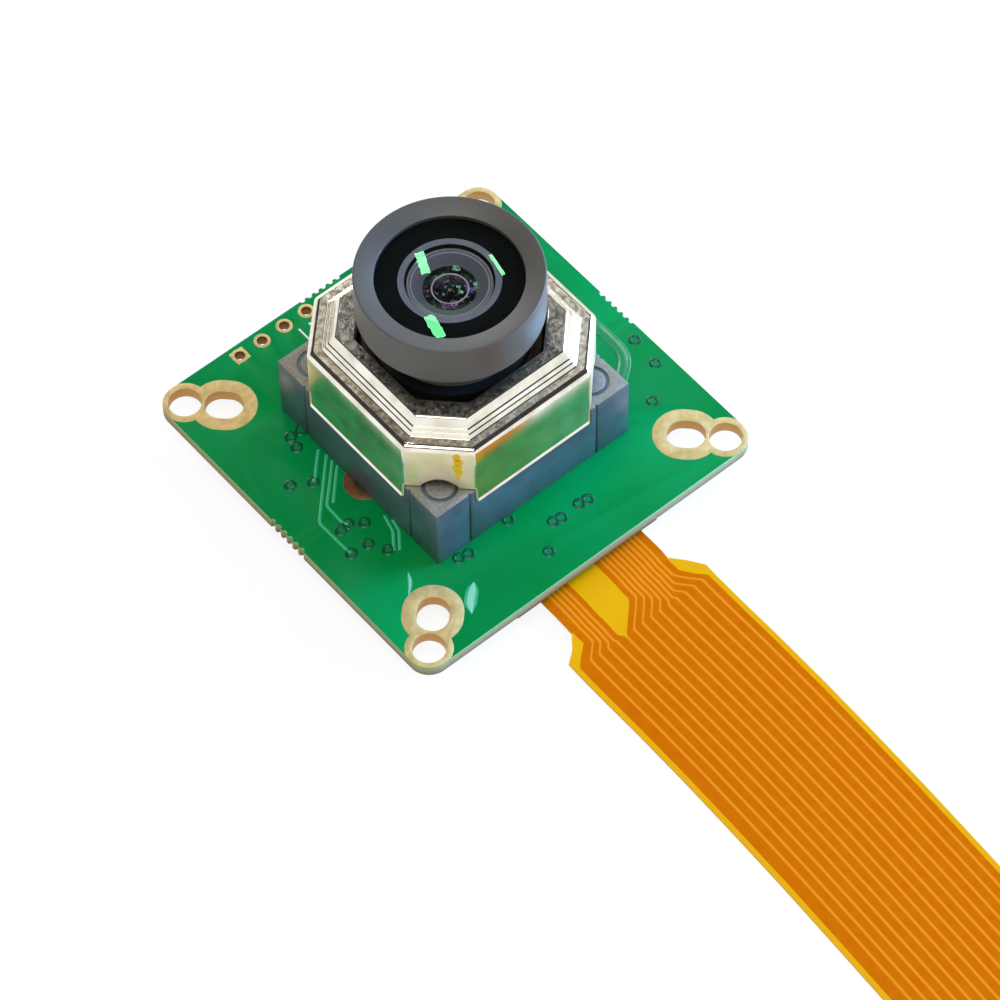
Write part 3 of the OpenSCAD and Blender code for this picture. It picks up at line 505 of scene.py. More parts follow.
@dataclass(frozen=True)
class DeepGlassPaintedGlints(Finish):
    """Coated glass far down in the barrel: nearly black, with painted glints that stand in for
    coloured reflections from within.
    """

    def dress(self, tree: bpy.types.NodeTree, shader: bpy.types.Node) -> None:
        """Set black with painted glints: patches of about 0.2 mm in the colours of the coatings
        and in white.
        """
        cells = add_node(
            tree, "ShaderNodeTexVoronoi", {"Vector": self.place(tree), "Scale": 1 / (0.2 * MM)}
        )
        # painted glints and reflections, set into the base colour
        painted_glints = (
            (0.0, "#101210"), (0.5, "#191d19"), (0.55, "#246b49"), (0.6, "#121412"),
            (0.73, "#151315"), (0.77, "#8c3a78"), (0.81, "#1a1618"), (0.87, "#6f6c64"),
            (0.92, "#d6d1c6"), (0.95, "#151615"),
        )
        split = add_node(tree, "ShaderNodeSeparateColor", {0: cells.outputs["Color"]})
        colour = ramp(tree, split.outputs[0], painted_glints)
        tree.links.new(colour, shader.inputs["Base Color"])
        self.set(shader, Roughness=0.12, Specular_IOR_Level=0.4, Specular_Tint=linear("#c58cff"))


@dataclass(frozen=True)
class PlainPaint(Finish):
    """One even colour, for small moulded, sintered and plated parts, by its values."""

    label: str = "part"
    colour: str = "#808080"
    rough: float = 0.5
    metal: float = 0.0
    clear: float = 0.0

    def mark(self) -> str:
        """Return the part's label."""
        return self.label

    def dress(self, tree: bpy.types.NodeTree, shader: bpy.types.Node) -> None:
        """Set the even colour."""
        self.set(
            shader,
            Base_Color=linear(self.colour),
            Roughness=self.rough,
            Metallic=self.metal,
            Transmission_Weight=self.clear,
        )


@dataclass(frozen=True)
class PolyimideFilm(Finish):
    """Amber polyimide film, where there is no copper under it: bright yellow and satin."""

    def dress(self, tree: bpy.types.NodeTree, shader: bpy.types.Node) -> None:
        """Set the bright amber."""
        self.set(shader, Base_Color=linear("#eeaa04"), Roughness=0.35, Specular_IOR_Level=0.08)


@dataclass(frozen=True)
class FilmOverCopper(Finish):
    """The same film over a rolled copper track: a deep orange."""

    def dress(self, tree: bpy.types.NodeTree, shader: bpy.types.Node) -> None:
        """Set the deep orange, with a faint mottle of about 1 mm."""
        tint = ramp(tree, self.grain(tree, 1.0, 2.0), ((0.3, "#d36900"), (0.7, "#d87000")))
        tree.links.new(tint, shader.inputs["Base Color"])
        self.set(shader, Roughness=0.45, Specular_IOR_Level=0.02)


@dataclass(frozen=True)
class FilmBetweenTracks(Finish):
    """The film in the narrow gap between two tracks: a lighter orange."""

    def dress(self, tree: bpy.types.NodeTree, shader: bpy.types.Node) -> None:
        """Set the light orange."""
        self.set(shader, Base_Color=linear("#f08c18"), Roughness=0.35, Specular_IOR_Level=0.06)


# Finishes that several pieces share.
SPRING_BRONZE = PlainPaint("spring_bronze", "#4a3a2c", 0.4, 0.8)
CONTACT_GOLD = PlainPaint("contact_gold", "#d9b365", 0.3, 1.0)
TIN_PLATING = PlainPaint("tin", "#c6c7c3", 0.35, 1.0)
CHIP_EPOXY = PlainPaint("chip_epoxy", "#202123", 0.55)


# ---------------------------------------------------------------- drawing meshes


@dataclass
class Draft:
    """Faces drawn in millimetres, each with the number of its finish."""

    points: list[Point] = field(default_factory=list)
    faces: list[tuple[int, ...]] = field(default_factory=list)
    finishes: list[int] = field(default_factory=list)

    def add(
        self, points: Iterable[Point], faces: Iterable[Sequence[int]], finish: int = 0
    ) -> None:
        """Add points and the faces between them.

        Args:
            points: The new points.
            faces: Numbers into the new points.
            finish: Number of the faces' finish.
        """
        start = len(self.points)
        self.points.extend(tuple(p) for p in points)
        for face in faces:
            self.faces.append(tuple(start + i for i in face))
            self.finishes.append(finish)

    def rings(
        self,
        rows: Sequence[Sequence[Point]],
        finish: int | Callable[[int], int] = 0,
        closed: bool = True,
        ends: bool = False,
    ) -> None:
        """Join rows of the same number of points with faces.

        Args:
            rows: The rows, each of points in order.
            finish: Number of the finish, or a function that gives it for a row.
            closed: Whether each row's last point joins its first.
            ends: Whether the first and last rows are closed by a face.
        """
        count = len(rows[0])
        start = len(self.points)
        self.points.extend(tuple(p) for row in rows for p in row)
        pick = finish if callable(finish) else (lambda _: finish)
        for r in range(len(rows) - 1):
            for i in range(count if closed else count - 1):
                j = (i + 1) % count
                a, b = start + r * count, start + (r + 1) * count
                self.faces.append((a + i, a + j, b + j, b + i))
                self.finishes.append(pick(r))
        if ends:
            last = start + (len(rows) - 1) * count
            self.faces.append(tuple(reversed(range(start, start + count))))
            self.faces.append(tuple(range(last, last + count)))
            self.finishes.extend((pick(0), pick(len(rows) - 2)))

    def block(self, low: Point, high: Point, finish: int = 0) -> None:
        """Add an upright block between two corners."""
        (a, b, c), (d, e, f) = low, high
        rows = [[(a, b, z), (d, b, z), (d, e, z), (a, e, z)] for z in (c, f)]
        self.rings(rows, finish, ends=True)

    def lathe(
        self,
        profile: Sequence[Plan],
        segments: int = 96,
        finish: int | Callable[[int], int] = 0,
        centre: Plan = (0.0, 0.0),
        ends: bool = False,
    ) -> None:
        """Turn a profile about an upright axis.

        Args:
            profile: Radius and height of each point, from first to last.
            segments: Number of steps round the axis.
            finish: Number of the finish, or a function that gives it for a row.
            centre: Place of the axis in plan.
            ends: Whether the first and last rings are closed by a face.
        """
        turn = [(math.cos(math.tau * i / segments), math.sin(math.tau * i / segments))
                for i in range(segments)]
        rows = [[(centre[0] + r * c, centre[1] + r * s, z) for c, s in turn] for r, z in profile]
        self.rings(rows, finish, ends=ends)

    def build(
        self, name: str, finishes: Sequence[Finish], crease: float = 35.0
    ) -> bpy.types.Object:
        """Make the object.

        Args:
            name: The piece's name.
            finishes: The finishes, in the order of their numbers.
            crease: Angle in degrees above which an edge stays sharp.

        Returns:
            The new object, linked to the scene.
        """
        mesh = bpy.data.meshes.new(name)
        mesh.from_pydata([[c * MM for c in p] for p in self.points], [], self.faces)
        mesh.polygons.foreach_set("material_index", self.finishes)
        for finish in finishes:
            mesh.materials.append(finish.material())
        mesh.validate()
        mesh.shade_smooth()
        mesh.set_sharp_from_angle(angle=math.radians(crease))
        made = bpy.data.objects.new(name, mesh)
        bpy.context.scene.collection.objects.link(made)
        return made


def rounded(points: Sequence[Point], radii: Sequence[float], steps: int = 4) -> list[Point]:
    """Round the inner corners of an open line.

    Args:
        points: The line's points, of two or more numbers each.
        radii: Length cut back from each inner corner, 0 to keep it.
        steps: Number of steps in each bend.

    Returns:
        The rounded line.
    """
    out = [Vector(points[0])]
    for before, at, after, cut in zip(points, points[1:], points[2:], radii):
        p, q, r = Vector(before), Vector(at), Vector(after)
        if cut <= 0:
            out.append(q)
            continue
        reach = min(cut, (p - q).length * 0.49, (r - q).length * 0.49)
        a = q + (p - q).normalized() * reach
        b = q + (r - q).normalized() * reach
        for i in range(steps + 1):
            t = i / steps
            out.append(a * (1 - t) ** 2 + q * (2 * t * (1 - t)) + b * t**2)
    out.append(Vector(points[-1]))
    return [tuple(v) for v in out]


def placed(
    made: bpy.types.Object, body: str, slot: str, replaced: Sequence[str] = ()
) -> bpy.types.Object:
    """Tie a piece to its body and hide the CAD nodes that it stands for.

    Args:
        made: The piece.
        body: The CAD body that it rides on.
        slot: The record's material slot; not used.
        replaced: The CAD nodes that it stands for.

    Returns:
        The piece.
    """
    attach(made, body)
    if replaced:
        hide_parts(*replaced)
    log.info("%s: %d faces", made.name, len(made.data.polygons))
    return made


def softened(
    nodes: dict[str, bpy.types.Object],
    source: str,
    name: str,
    edge: float,
    pick: Callable[[Vector, Vector], int],
    finishes: Sequence[Finish],
    crease: float = 30.0,
    segments: int = 2,
) -> bpy.types.Object:
    """Copy a CAD node with its edges rounded.

    Args:
        nodes: The CAD nodes by name.
        source: The node to copy.
        name: The new piece's name.
        edge: Width of the rounding in millimetres.
        pick: Gives a face's finish from its middle in millimetres and its normal.
        finishes: The finishes, in the order of their numbers.
        crease: Angle in degrees above which an edge is rounded.
        segments: Steps in the rounding.

    Returns:
        The new object.
    """
    shape = bmesh.new()
    shape.from_mesh(nodes[source].data)
    bmesh.ops.remove_doubles(shape, verts=shape.verts, dist=2e-6)
    bmesh.ops.dissolve_limit(
        shape, angle_limit=math.radians(0.5), verts=shape.verts, edges=shape.edges
    )
    bmesh.ops.recalc_face_normals(shape, faces=shape.faces)
    for face in shape.faces:
        face.material_index = pick(face.calc_center_median() / MM, face.normal)
    if edge > 0:
        sharp = [
            e for e in shape.edges
            if len(e.link_faces) == 2 and e.calc_face_angle(0.0) > math.radians(crease)
        ]
        bmesh.ops.bevel(
            shape,
            geom=sharp,
            offset=edge * MM,
            segments=segments,
            profile=0.5,
            affect="EDGES",
            clamp_overlap=False,
            material=-1,
        )
    mesh = bpy.data.meshes.new(name)
    shape.to_mesh(mesh)
    shape.free()
    for finish in finishes:
        mesh.materials.append(finish.material())
    mesh.shade_smooth()
    mesh.set_sharp_from_angle(angle=math.radians(40))
    made = bpy.data.objects.new(name, mesh)
    bpy.context.scene.collection.objects.link(made)
    return made


# ---------------------------------------------------------------- the circuit board


@dataclass
class CircuitBoard:
    """The square board with its lands, tented vias, tracks and silk marks."""

    nodes: dict[str, bpy.types.Object]
    top: float = 1.2
    land: float = 0.05
    mask_edge: float = 0.035
    track_height: float = 0.07
    via_radius: float = 0.45
    holder_at: float = 10.25
    holder_hole: float = 0.93

    def build(self) -> None:
        """Build the board and what is on it."""
        self.board()
        self.lands()
        self.vias()
        self.tracks()
        self.silk()
        self.plugs()
        self.pale_smears()

    def board(self) -> None:
        """Build the plate: ink on its faces, laminate on its edges."""

        def pick(middle: Vector, normal: Vector) -> int:
            """Give ink to the two faces and the laminate to the rest."""
            return 0 if abs(normal.z) > 0.9 else 1

        made = softened(
            self.nodes,
            "circuit_board",
            "board_plate",
            self.mask_edge,
            pick,
            (SolderMask(), EpoxyLaminate()),
        )
        placed(made, "board", "solder_mask", ["circuit_board"])

    def lands(self) -> None:
        """Build the gilded lands, with the plating in their holes."""

        def pick(middle: Vector, normal: Vector) -> int:
            """Give bright gold to the faces and dull gold to the holes."""
            return 0 if abs(normal.z) > 0.5 else 1

        # The wall colours paint the shade inside each hole: brown in the narrow header holes,
        # darkest in the holder holes beside the base.
        for node, wall in (
            ("corner_lands", "#cf9d57"), ("header_lands", "#8f5f1c"), ("holder_lands", "#6b3f22"),
        ):
            # the holder lands take the painted-shade brown, since the base shades them
            face = HolderLandPaintedShade() if node == "holder_lands" else ImmersionGold()
            made = softened(
                self.nodes, node, node + "_gilt", 0.025, pick, (face, PlatedWall(wall))
            )
            placed(made, "board", "gold_plating", [node])

    def vias(self) -> None:
        """Build the tented vias: a ring under the ink with a dimple in its middle."""
        places = (
            (-15.49, 3.97), (-13.72, 2.94), (-14.19, -2.5), (-13.02, -3.3), (-15.09, -2.63),
            (-14.16, -5.27), (-15.92, -5.08), (-13.25, -6.85), (2.57, -14.01), (3.46, -14.13),
            (-0.36, -13.97), (0.45, -14.11), (-3.26, -11.26), (-2.69, -16.1), (-9.12, -11.55),
            (-8.16, -11.74), (14.67, -9.86), (17.57, -6.92), (17.84, -3.79), (-12.5, 6.8),
            (-12.2, 8.0), (-11.1, 8.0),
        )
        draft = Draft()
        r, h = self.via_radius, self.track_height
        profile = [
            (r + 0.16, self.top), (r + 0.1, self.top + h * 0.4), (r + 0.02, self.top + h * 0.95),
            (r - 0.05, self.top + h), (r - 0.14, self.top + h * 0.5), (r - 0.25, self.top - h),
            (r - 0.36, self.top - h * 1.3), (0.0, self.top - h * 1.4),
        ]
        for place in places:
            draft.lathe(profile, 28, 0, place)
        placed(draft.build("vias", (TentedVia(),), 80), "board", "solder_mask")

    def tracks(self) -> None:
        """Build the tracks that show through the ink."""
        draft = Draft()
        lines = (
            ((-11.2, 5.3), (-12.39, 4.13), (-13.32, 3.13), (-13.72, 2.94)),
            ((-11.0, 4.4), (-12.01, 3.38), (-16.03, -0.79), (-15.99, -4.15), (-15.92, -5.08)),
            ((-11.0, 3.6), (-11.98, 2.6), (-14.4, 0.18), (-14.46, -2.13), (-14.19, -2.5)),
            ((-11.0, 2.9), (-11.99, 1.91), (-13.79, 0.03)),
            ((-11.2, -3.9), (-11.67, -5.64), (-12.93, -7.31)),
            ((-10.95, -4.7), (-11.2, -5.9), (-12.5, -7.6)),
        )
        for line in lines:
            path = rounded([(*p, 0.0) for p in line], (0.3,) * (len(line) - 2), 4)
            self.ribbon(draft, [p[:2] for p in path], 0.3, self.track_height, 0)
        band = rounded([(16.2, 6.0, 0.0), (16.25, -4.6, 0.0), (13.6, -6.6, 0.0)], (1.6,), 10)
        self.ribbon(draft, [p[:2] for p in band], 1.25, self.track_height * 0.6, 1)
        finishes = (RaisedMask(), RaisedMask("#018a50"))
        placed(draft.build("tracks", finishes, 80), "board", "solder_mask")

    def silk(self) -> None:
        """Build the white silk marks beside the header."""
        draft = Draft()
        draft.block((-4.34, 15.1, self.top - 0.01), (-4.16, 16.7, self.top + 0.012))
        draft.lathe([(0.16, self.top), (0.15, self.top + 0.012), (0.0, self.top + 0.012)], 20, 0,
                    (-3.1, 16.5))
        ink = PlainPaint("silk_ink", "#e9eee6", 0.6)
        placed(draft.build("silk_marks", (ink,)), "board", "solder_mask")

    def plugs(self) -> None:
        """Build the resin that closes the two spare holder holes, level with the board."""
        draft = Draft()
        for side in (-1, 1):
            centre = (side * self.holder_at, 0.0)
            draft.lathe(
                [
                    (0.0, 0.06), (self.holder_hole, 0.06), (self.holder_hole, self.top - 0.1),
                    (self.holder_hole * 0.8, self.top - 0.16), (0.0, self.top - 0.2),
                ],
                40, 0, centre,
            )
        resin = PlainPaint("hole_resin", "#4a4a2c", 0.45)
        placed(draft.build("hole_plugs", (resin,)), "board", "solder_mask")

    def pale_smears(self) -> None:
        """Build the two pale green smears beside the front corner's land, each a wide thin layer
        under a narrower paler one.
        """
        draft = Draft()
        smears = (
            (((-9.7, -14.3), (-10.5, -15.0), (-11.3, -15.7), (-11.95, -16.7)), 1.15),
            (((-13.4, -9.8), (-13.93, -10.8), (-15.0, -11.8)), 0.42),
        )
        for line, width in smears:
            path = rounded([(*p, 0.0) for p in line], (0.6,) * (len(line) - 2), 5)
            for share, lift, finish in ((1.0, 0.004, 0), (0.55, 0.007, 1)):
                rows = []
                for i, at in enumerate(path):
                    t = 2 * i / (len(path) - 1) - 1
                    half = max(0.02, 0.5 * width * share * math.sqrt(max(0.0, 1 - t**4)))
                    a, b = path[max(i - 1, 0)], path[min(i + 1, len(path) - 1)]
                    way = Vector((b[0] - a[0], b[1] - a[1])).normalized()
                    rows.append([
                        (at[0] - way.y * s * half, at[1] + way.x * s * half, self.top + lift)
                        for s in (1, -1)
                    ])
                draft.rings(rows, finish, closed=False)
        finishes = (
            PlainPaint("smear_thin", "#2fae78", 0.4), PlainPaint("smear_thick", "#86d3a8", 0.45),
        )
        placed(draft.build("pale_smear_patches", finishes), "board", "solder_mask")

    def ribbon(
        self, draft: Draft, line: Sequence[Plan], width: float, height: float, finish: int
    ) -> None:
        """Draw a low, round-shouldered ridge along a line on the board.

        Args:
            draft: The draft that gets it.
            line: The line in plan.
            width: Width at its foot.
            height: Height of its crown.
            finish: Number of its finish.
        """
        half = width / 2
        right = ((half, -0.2), (half - 0.06, 0.75), (half - 0.13, 1.0))
        section = [(-s, z) for s, z in right] + list(reversed(right))
        rows = []
        for i, at in enumerate(line):
            before = Vector(line[max(i - 1, 0)])
            after = Vector(line[min(i + 1, len(line) - 1)])
            here = Vector(at)
            ways = [w.normalized() for w in (here - before, after - here) if w.length > 1e-6]
            way = sum(ways, Vector((0, 0))).normalized()
            side = Vector((-way.y, way.x))
            stretch = 1 / max(0.5, way.dot(ways[0]))
            rows.append([
                (*(here + side * (s * stretch)), self.top + z * height) for s, z in section
            ])
        draft.rings(rows, finish, closed=False)
        for row, flip in ((rows[0], True), (rows[-1], False)):
            order = range(len(row))
            draft.add(row, [tuple(reversed(order)) if flip else tuple(order)], finish)


# ---------------------------------------------------------------- sensor and filter


@dataclass
class SensorStack:
    """The image sensor under the lens, with its cover glass and filter."""

    nodes: dict[str, bpy.types.Object]

    def build(self) -> None:
        """Dress the CAD solids, which are hidden under the actuator."""
        finishes = {
            "sensor_package": PlainPaint("ceramic", "#5c5a55", 0.6),
            "sensor_die": PlainPaint("silicon", "#4d5a63", 0.15, 0.9),
            "sensor_cover_glass": PlainPaint("cover_glass", "#eef4f2", 0.0, 0.0, 1.0),
            "infrared_filter": PlainPaint("filter_glass", "#a7d8d2", 0.0, 0.0, 1.0),
        }
        for node, finish in finishes.items():
            self.nodes[node].data.materials.clear()
            self.nodes[node].data.materials.append(finish.material())
            log.info("%s: dressed", node)


# ---------------------------------------------------------------- the actuator


@dataclass
class Actuator:
    """The voice-coil actuator: moulded base, drawn can, springs, coil and magnets."""

    nodes: dict[str, bpy.types.Object]
    flat: float = 10.9
    corner: float = 12.3
    opening_flat: float = 7.4
    opening_corner: float = 8.15
    wall: float = 6.7
    post: float = 8.4
    ledge: float = 14.1
    step: float = 14.8
    head: float = 15.6
    sheet: float = 0.3
    shoulder: float = 0.6
    bend: float = 0.5
    arch_half: float = 1.75
    arch_rise: float = 1.2
    gap: float = 0.15
    arch_columns: int = 13
    pin: float = 1.3
    pin_at: float = 12.1
    pin_groove: float = 0.12
    bend_steps: int = 5

    def build(self) -> None:
        """Build the base, the can and the drive inside."""
        self.base()
        self.can()
        self.drive()

    def base(self) -> None:
        """Build the moulded base, with painted light paling the tops of its posts."""

        def pick(middle: Vector, normal: Vector) -> int:
            """Give the pale finish, which paints the top light, to the tops of the corner posts
            and their pins.
            """
            # finish 1 is painted top light on the upward faces of the posts
            return 1 if normal.z > 0.9 and middle.z > self.post - 0.05 else 0

        made = softened(
            self.nodes,
            "actuator_base",
            "base_moulding",
            0.07,
            pick,
            (LiquidCrystalPolymer(), PaintedLightPostTop()),
        )
        placed(made, "board", "moulded_polymer", ["actuator_base"])
        draft = Draft()
        place = self.pin_at * math.sqrt(0.5)
        for x, y in ((1, 1), (-1, 1), (-1, -1), (1, -1)):
            low = self.post - self.pin_groove
            draft.lathe([(self.pin - 0.02, low), (self.pin + 0.32, low)], 40, 0,
                        (x * place, y * place))
        made = draft.build("pin_grooves", (LiquidCrystalPolymer(),))
        placed(made, "board", "moulded_polymer")

    def ring(
        self, flat: float, corner: float, heights: float | Callable, bend: float
    ) -> list[Point]:
        """Draw one level of the can: an octagon with rounded upright edges.

        Args:
            flat: Half distance across the wide faces.
            corner: Half distance across the narrow faces.
            heights: Height, or a function that gives it from the distance to the narrow
                face's middle and whether the point is on that face.
            bend: Radius of the upright edges.

        Returns:
            The points, anticlockwise from the +X side.
        """
        root = math.sqrt(0.5)
        cx = flat - bend
        cy = (corner - bend) / root - cx
        narrow_half = (cx - cy) * root
        points = []
        for quarter in range(4):
            c, s = ((1, 0), (0, 1), (-1, 0), (0, -1))[quarter]
            for k in range(self.bend_steps + 1):
                a = math.radians(45 * k / self.bend_steps)
                points.append(self.column(cx + bend * math.cos(a), cy + bend * math.sin(a),
                                          c, s, heights, narrow_half, k * 2 > self.bend_steps))
            for k in range(self.arch_columns):
                t = -self.arch_half * math.cos(math.pi * k / (self.arch_columns - 1))
                points.append(self.column(root * (corner - t), root * (corner + t),
                                          c, s, heights, t, True))
            for k in range(self.bend_steps + 1):
                a = math.radians(45 + 45 * k / self.bend_steps)
                points.append(self.column(cy + bend * math.cos(a), cx + bend * math.sin(a),
                                          c, s, heights, narrow_half, k * 2 < self.bend_steps))
        return points

    def column(
        self, x: float, y: float, c: int, s: int, heights: float | Callable, t: float, narrow: bool
    ) -> Point:
        """Turn a point into its quarter and give it its height."""
        z = heights(t, narrow) if callable(heights) else heights
        return (x * c - y * s, x * s + y * c, z)

    def foot(self, t: float, narrow: bool) -> float:
        """Height of the can's lower edge: it ends on the posts, with an arch over each pin.

        Args:
            t: Distance from the middle of the narrow face.
            narrow: Whether the point is on a narrow face.

        Returns:
            The height.
        """
        if not narrow:
            return self.wall
        low = self.post + self.gap
        if abs(t) >= self.arch_half:
            return low
        return low + self.arch_rise * (1 - (t / self.arch_half) ** 2)

    def can(self) -> None:
        """Build the drawn can, with its two embossed steps, from rings."""
        o, i = self.sheet, self.corner - self.opening_corner - (self.flat - self.opening_flat)
        opening = self.flat - self.opening_flat
        outer = [
            (0, 0, self.ledge - 2.6), (0, 0, self.ledge), (1.3, 0, self.ledge),
            (1.5, 0, self.ledge + 0.36), (1.62, 0, self.ledge + 0.36), (1.78, 0, self.step),
            (1.92, 0, self.step), (2.35, 0, self.head),
            (opening, i, self.head), (opening, i, self.head - o),
        ]
        outer = rounded(outer, (self.shoulder, 0.1, 0.05, 0.05, 0.06, 0.06, 0.16, 0.1), 5)
        inner = [
            (opening, i, self.head - o), (2.35 + o, 0, self.head - o), (2.0 + o, 0, self.step - o),
            (1.65 + o, 0, self.step - o), (1.35 + o, 0, self.ledge - o), (o, 0, self.ledge - o),
            (o, 0, self.ledge - 2.6),
        ]
        inner = rounded(inner, (0.1, 0.1, 0.1, 0.1, 0.35), 3)
        curl = ((-0.08, 0.0), (0.1, 0.01), (0.15, 0.05), (0.02, 0.2), (0.0, 0.26))
        rows = [
            self.ring(self.flat + out, self.corner + min(0.0, out),
                      lambda t, narrow, up=up: self.foot(t, narrow) + up, self.bend)
            for out, up in curl
        ]
        drawn, ledge, plateau = range(3)
        kinds = [drawn] * len(curl)
        for (shift, more, z), after in zip(outer, outer[1:] + outer[-1:]):
            rows.append(self.ring(self.flat - shift, self.corner - shift - more, z,
                                  max(0.25, self.bend - shift * 0.1)))
            flat = abs(after[2] - z) < 1e-3
            kinds.append(plateau if flat and z > self.head - 0.01 else
                         ledge if flat and z < self.ledge + 0.01 else drawn)
        for shift, more, z in inner[1:]:
            rows.append(self.ring(self.flat - shift, self.corner - shift - more, z, 0.25))
        rows.append(self.ring(self.flat - o, self.corner - o, self.foot, 0.25))
        rows.append(rows[0])
        draft = Draft()
        draft.rings(rows, lambda r: kinds[r] if r < len(kinds) else drawn)
        finishes = (
            NickelSheet(),
            PeeledNickel(),
            # the plateau's darker copy is painted dark reflection of the lens head and the card
            # over it
            PeeledNickel("plateau", "#53524a", "#bdb9ad", 0.26, 0.08),
        )
        made = draft.build("can_shell", finishes, 40)
        placed(made, "board", "nickel_sheet", ["actuator_can"])
        self.dab()

    def dab(self) -> None:
        """Build the dab of yellow marking paint on the front narrow face."""
        draft = Draft()
        root = math.sqrt(0.5)
        out = Vector((-root, -root, 0))
        along = Vector((root, -root, 0))
        for t, z, r, tall in (
            (1.52, 13.1, 0.36, 1.7), (1.66, 12.4, 0.44, 1.5), (1.55, 11.6, 0.46, 1.4),
            (1.68, 10.9, 0.36, 1.4), (1.6, 10.1, 0.17, 2.2),
        ):
            middle = out * (self.corner + 0.012) + along * t + Vector((0, 0, z))
            turn = [math.tau * k / 18 for k in range(18)]
            edge = [
                tuple(middle - out * 0.02 + along * (r * math.cos(a) * (1 + 0.2 * math.sin(3 * a)))
                      + Vector((0, 0, r * tall * math.sin(a))))
                for a in turn
            ]
            top = [
                tuple(middle + out * 0.012 + along * (0.8 * r * math.cos(a))
                      + Vector((0, 0, 0.8 * r * tall * math.sin(a))))
                for a in turn
            ]
            draft.rings([edge, top])
            draft.add(top, [tuple(range(len(top)))])
        paint = PlainPaint("marking_paint", "#ffd400", 0.4)
        placed(draft.build("paint_dab", (paint,)), "board", "nickel_sheet")

    def drive(self) -> None:
        """Dress the drive's solids, most of which the can hides."""
        finishes = {
            "yoke_magnets": PlainPaint("magnet_plating", "#9b9a96", 0.35, 1.0),
            "spring_spacer": PlainPaint("spacer_polymer", "#3a3b3c", 0.5),
            "lower_spring": SPRING_BRONZE,
            "upper_spring": SPRING_BRONZE,
            "coil_terminals": PlainPaint("terminal_tin", "#c9c4b2", 0.35, 1.0),
            "lens_carrier": PlainPaint("carrier_polymer", "#17191b", 0.45),
            "focus_coil": PlainPaint("enamelled_wire", "#5a2c18", 0.4, 0.4),
        }
        for node, finish in finishes.items():
            self.nodes[node].data.materials.clear()
            self.nodes[node].data.materials.append(finish.material())
            log.info("%s: dressed", node)


# ---------------------------------------------------------------- the lens


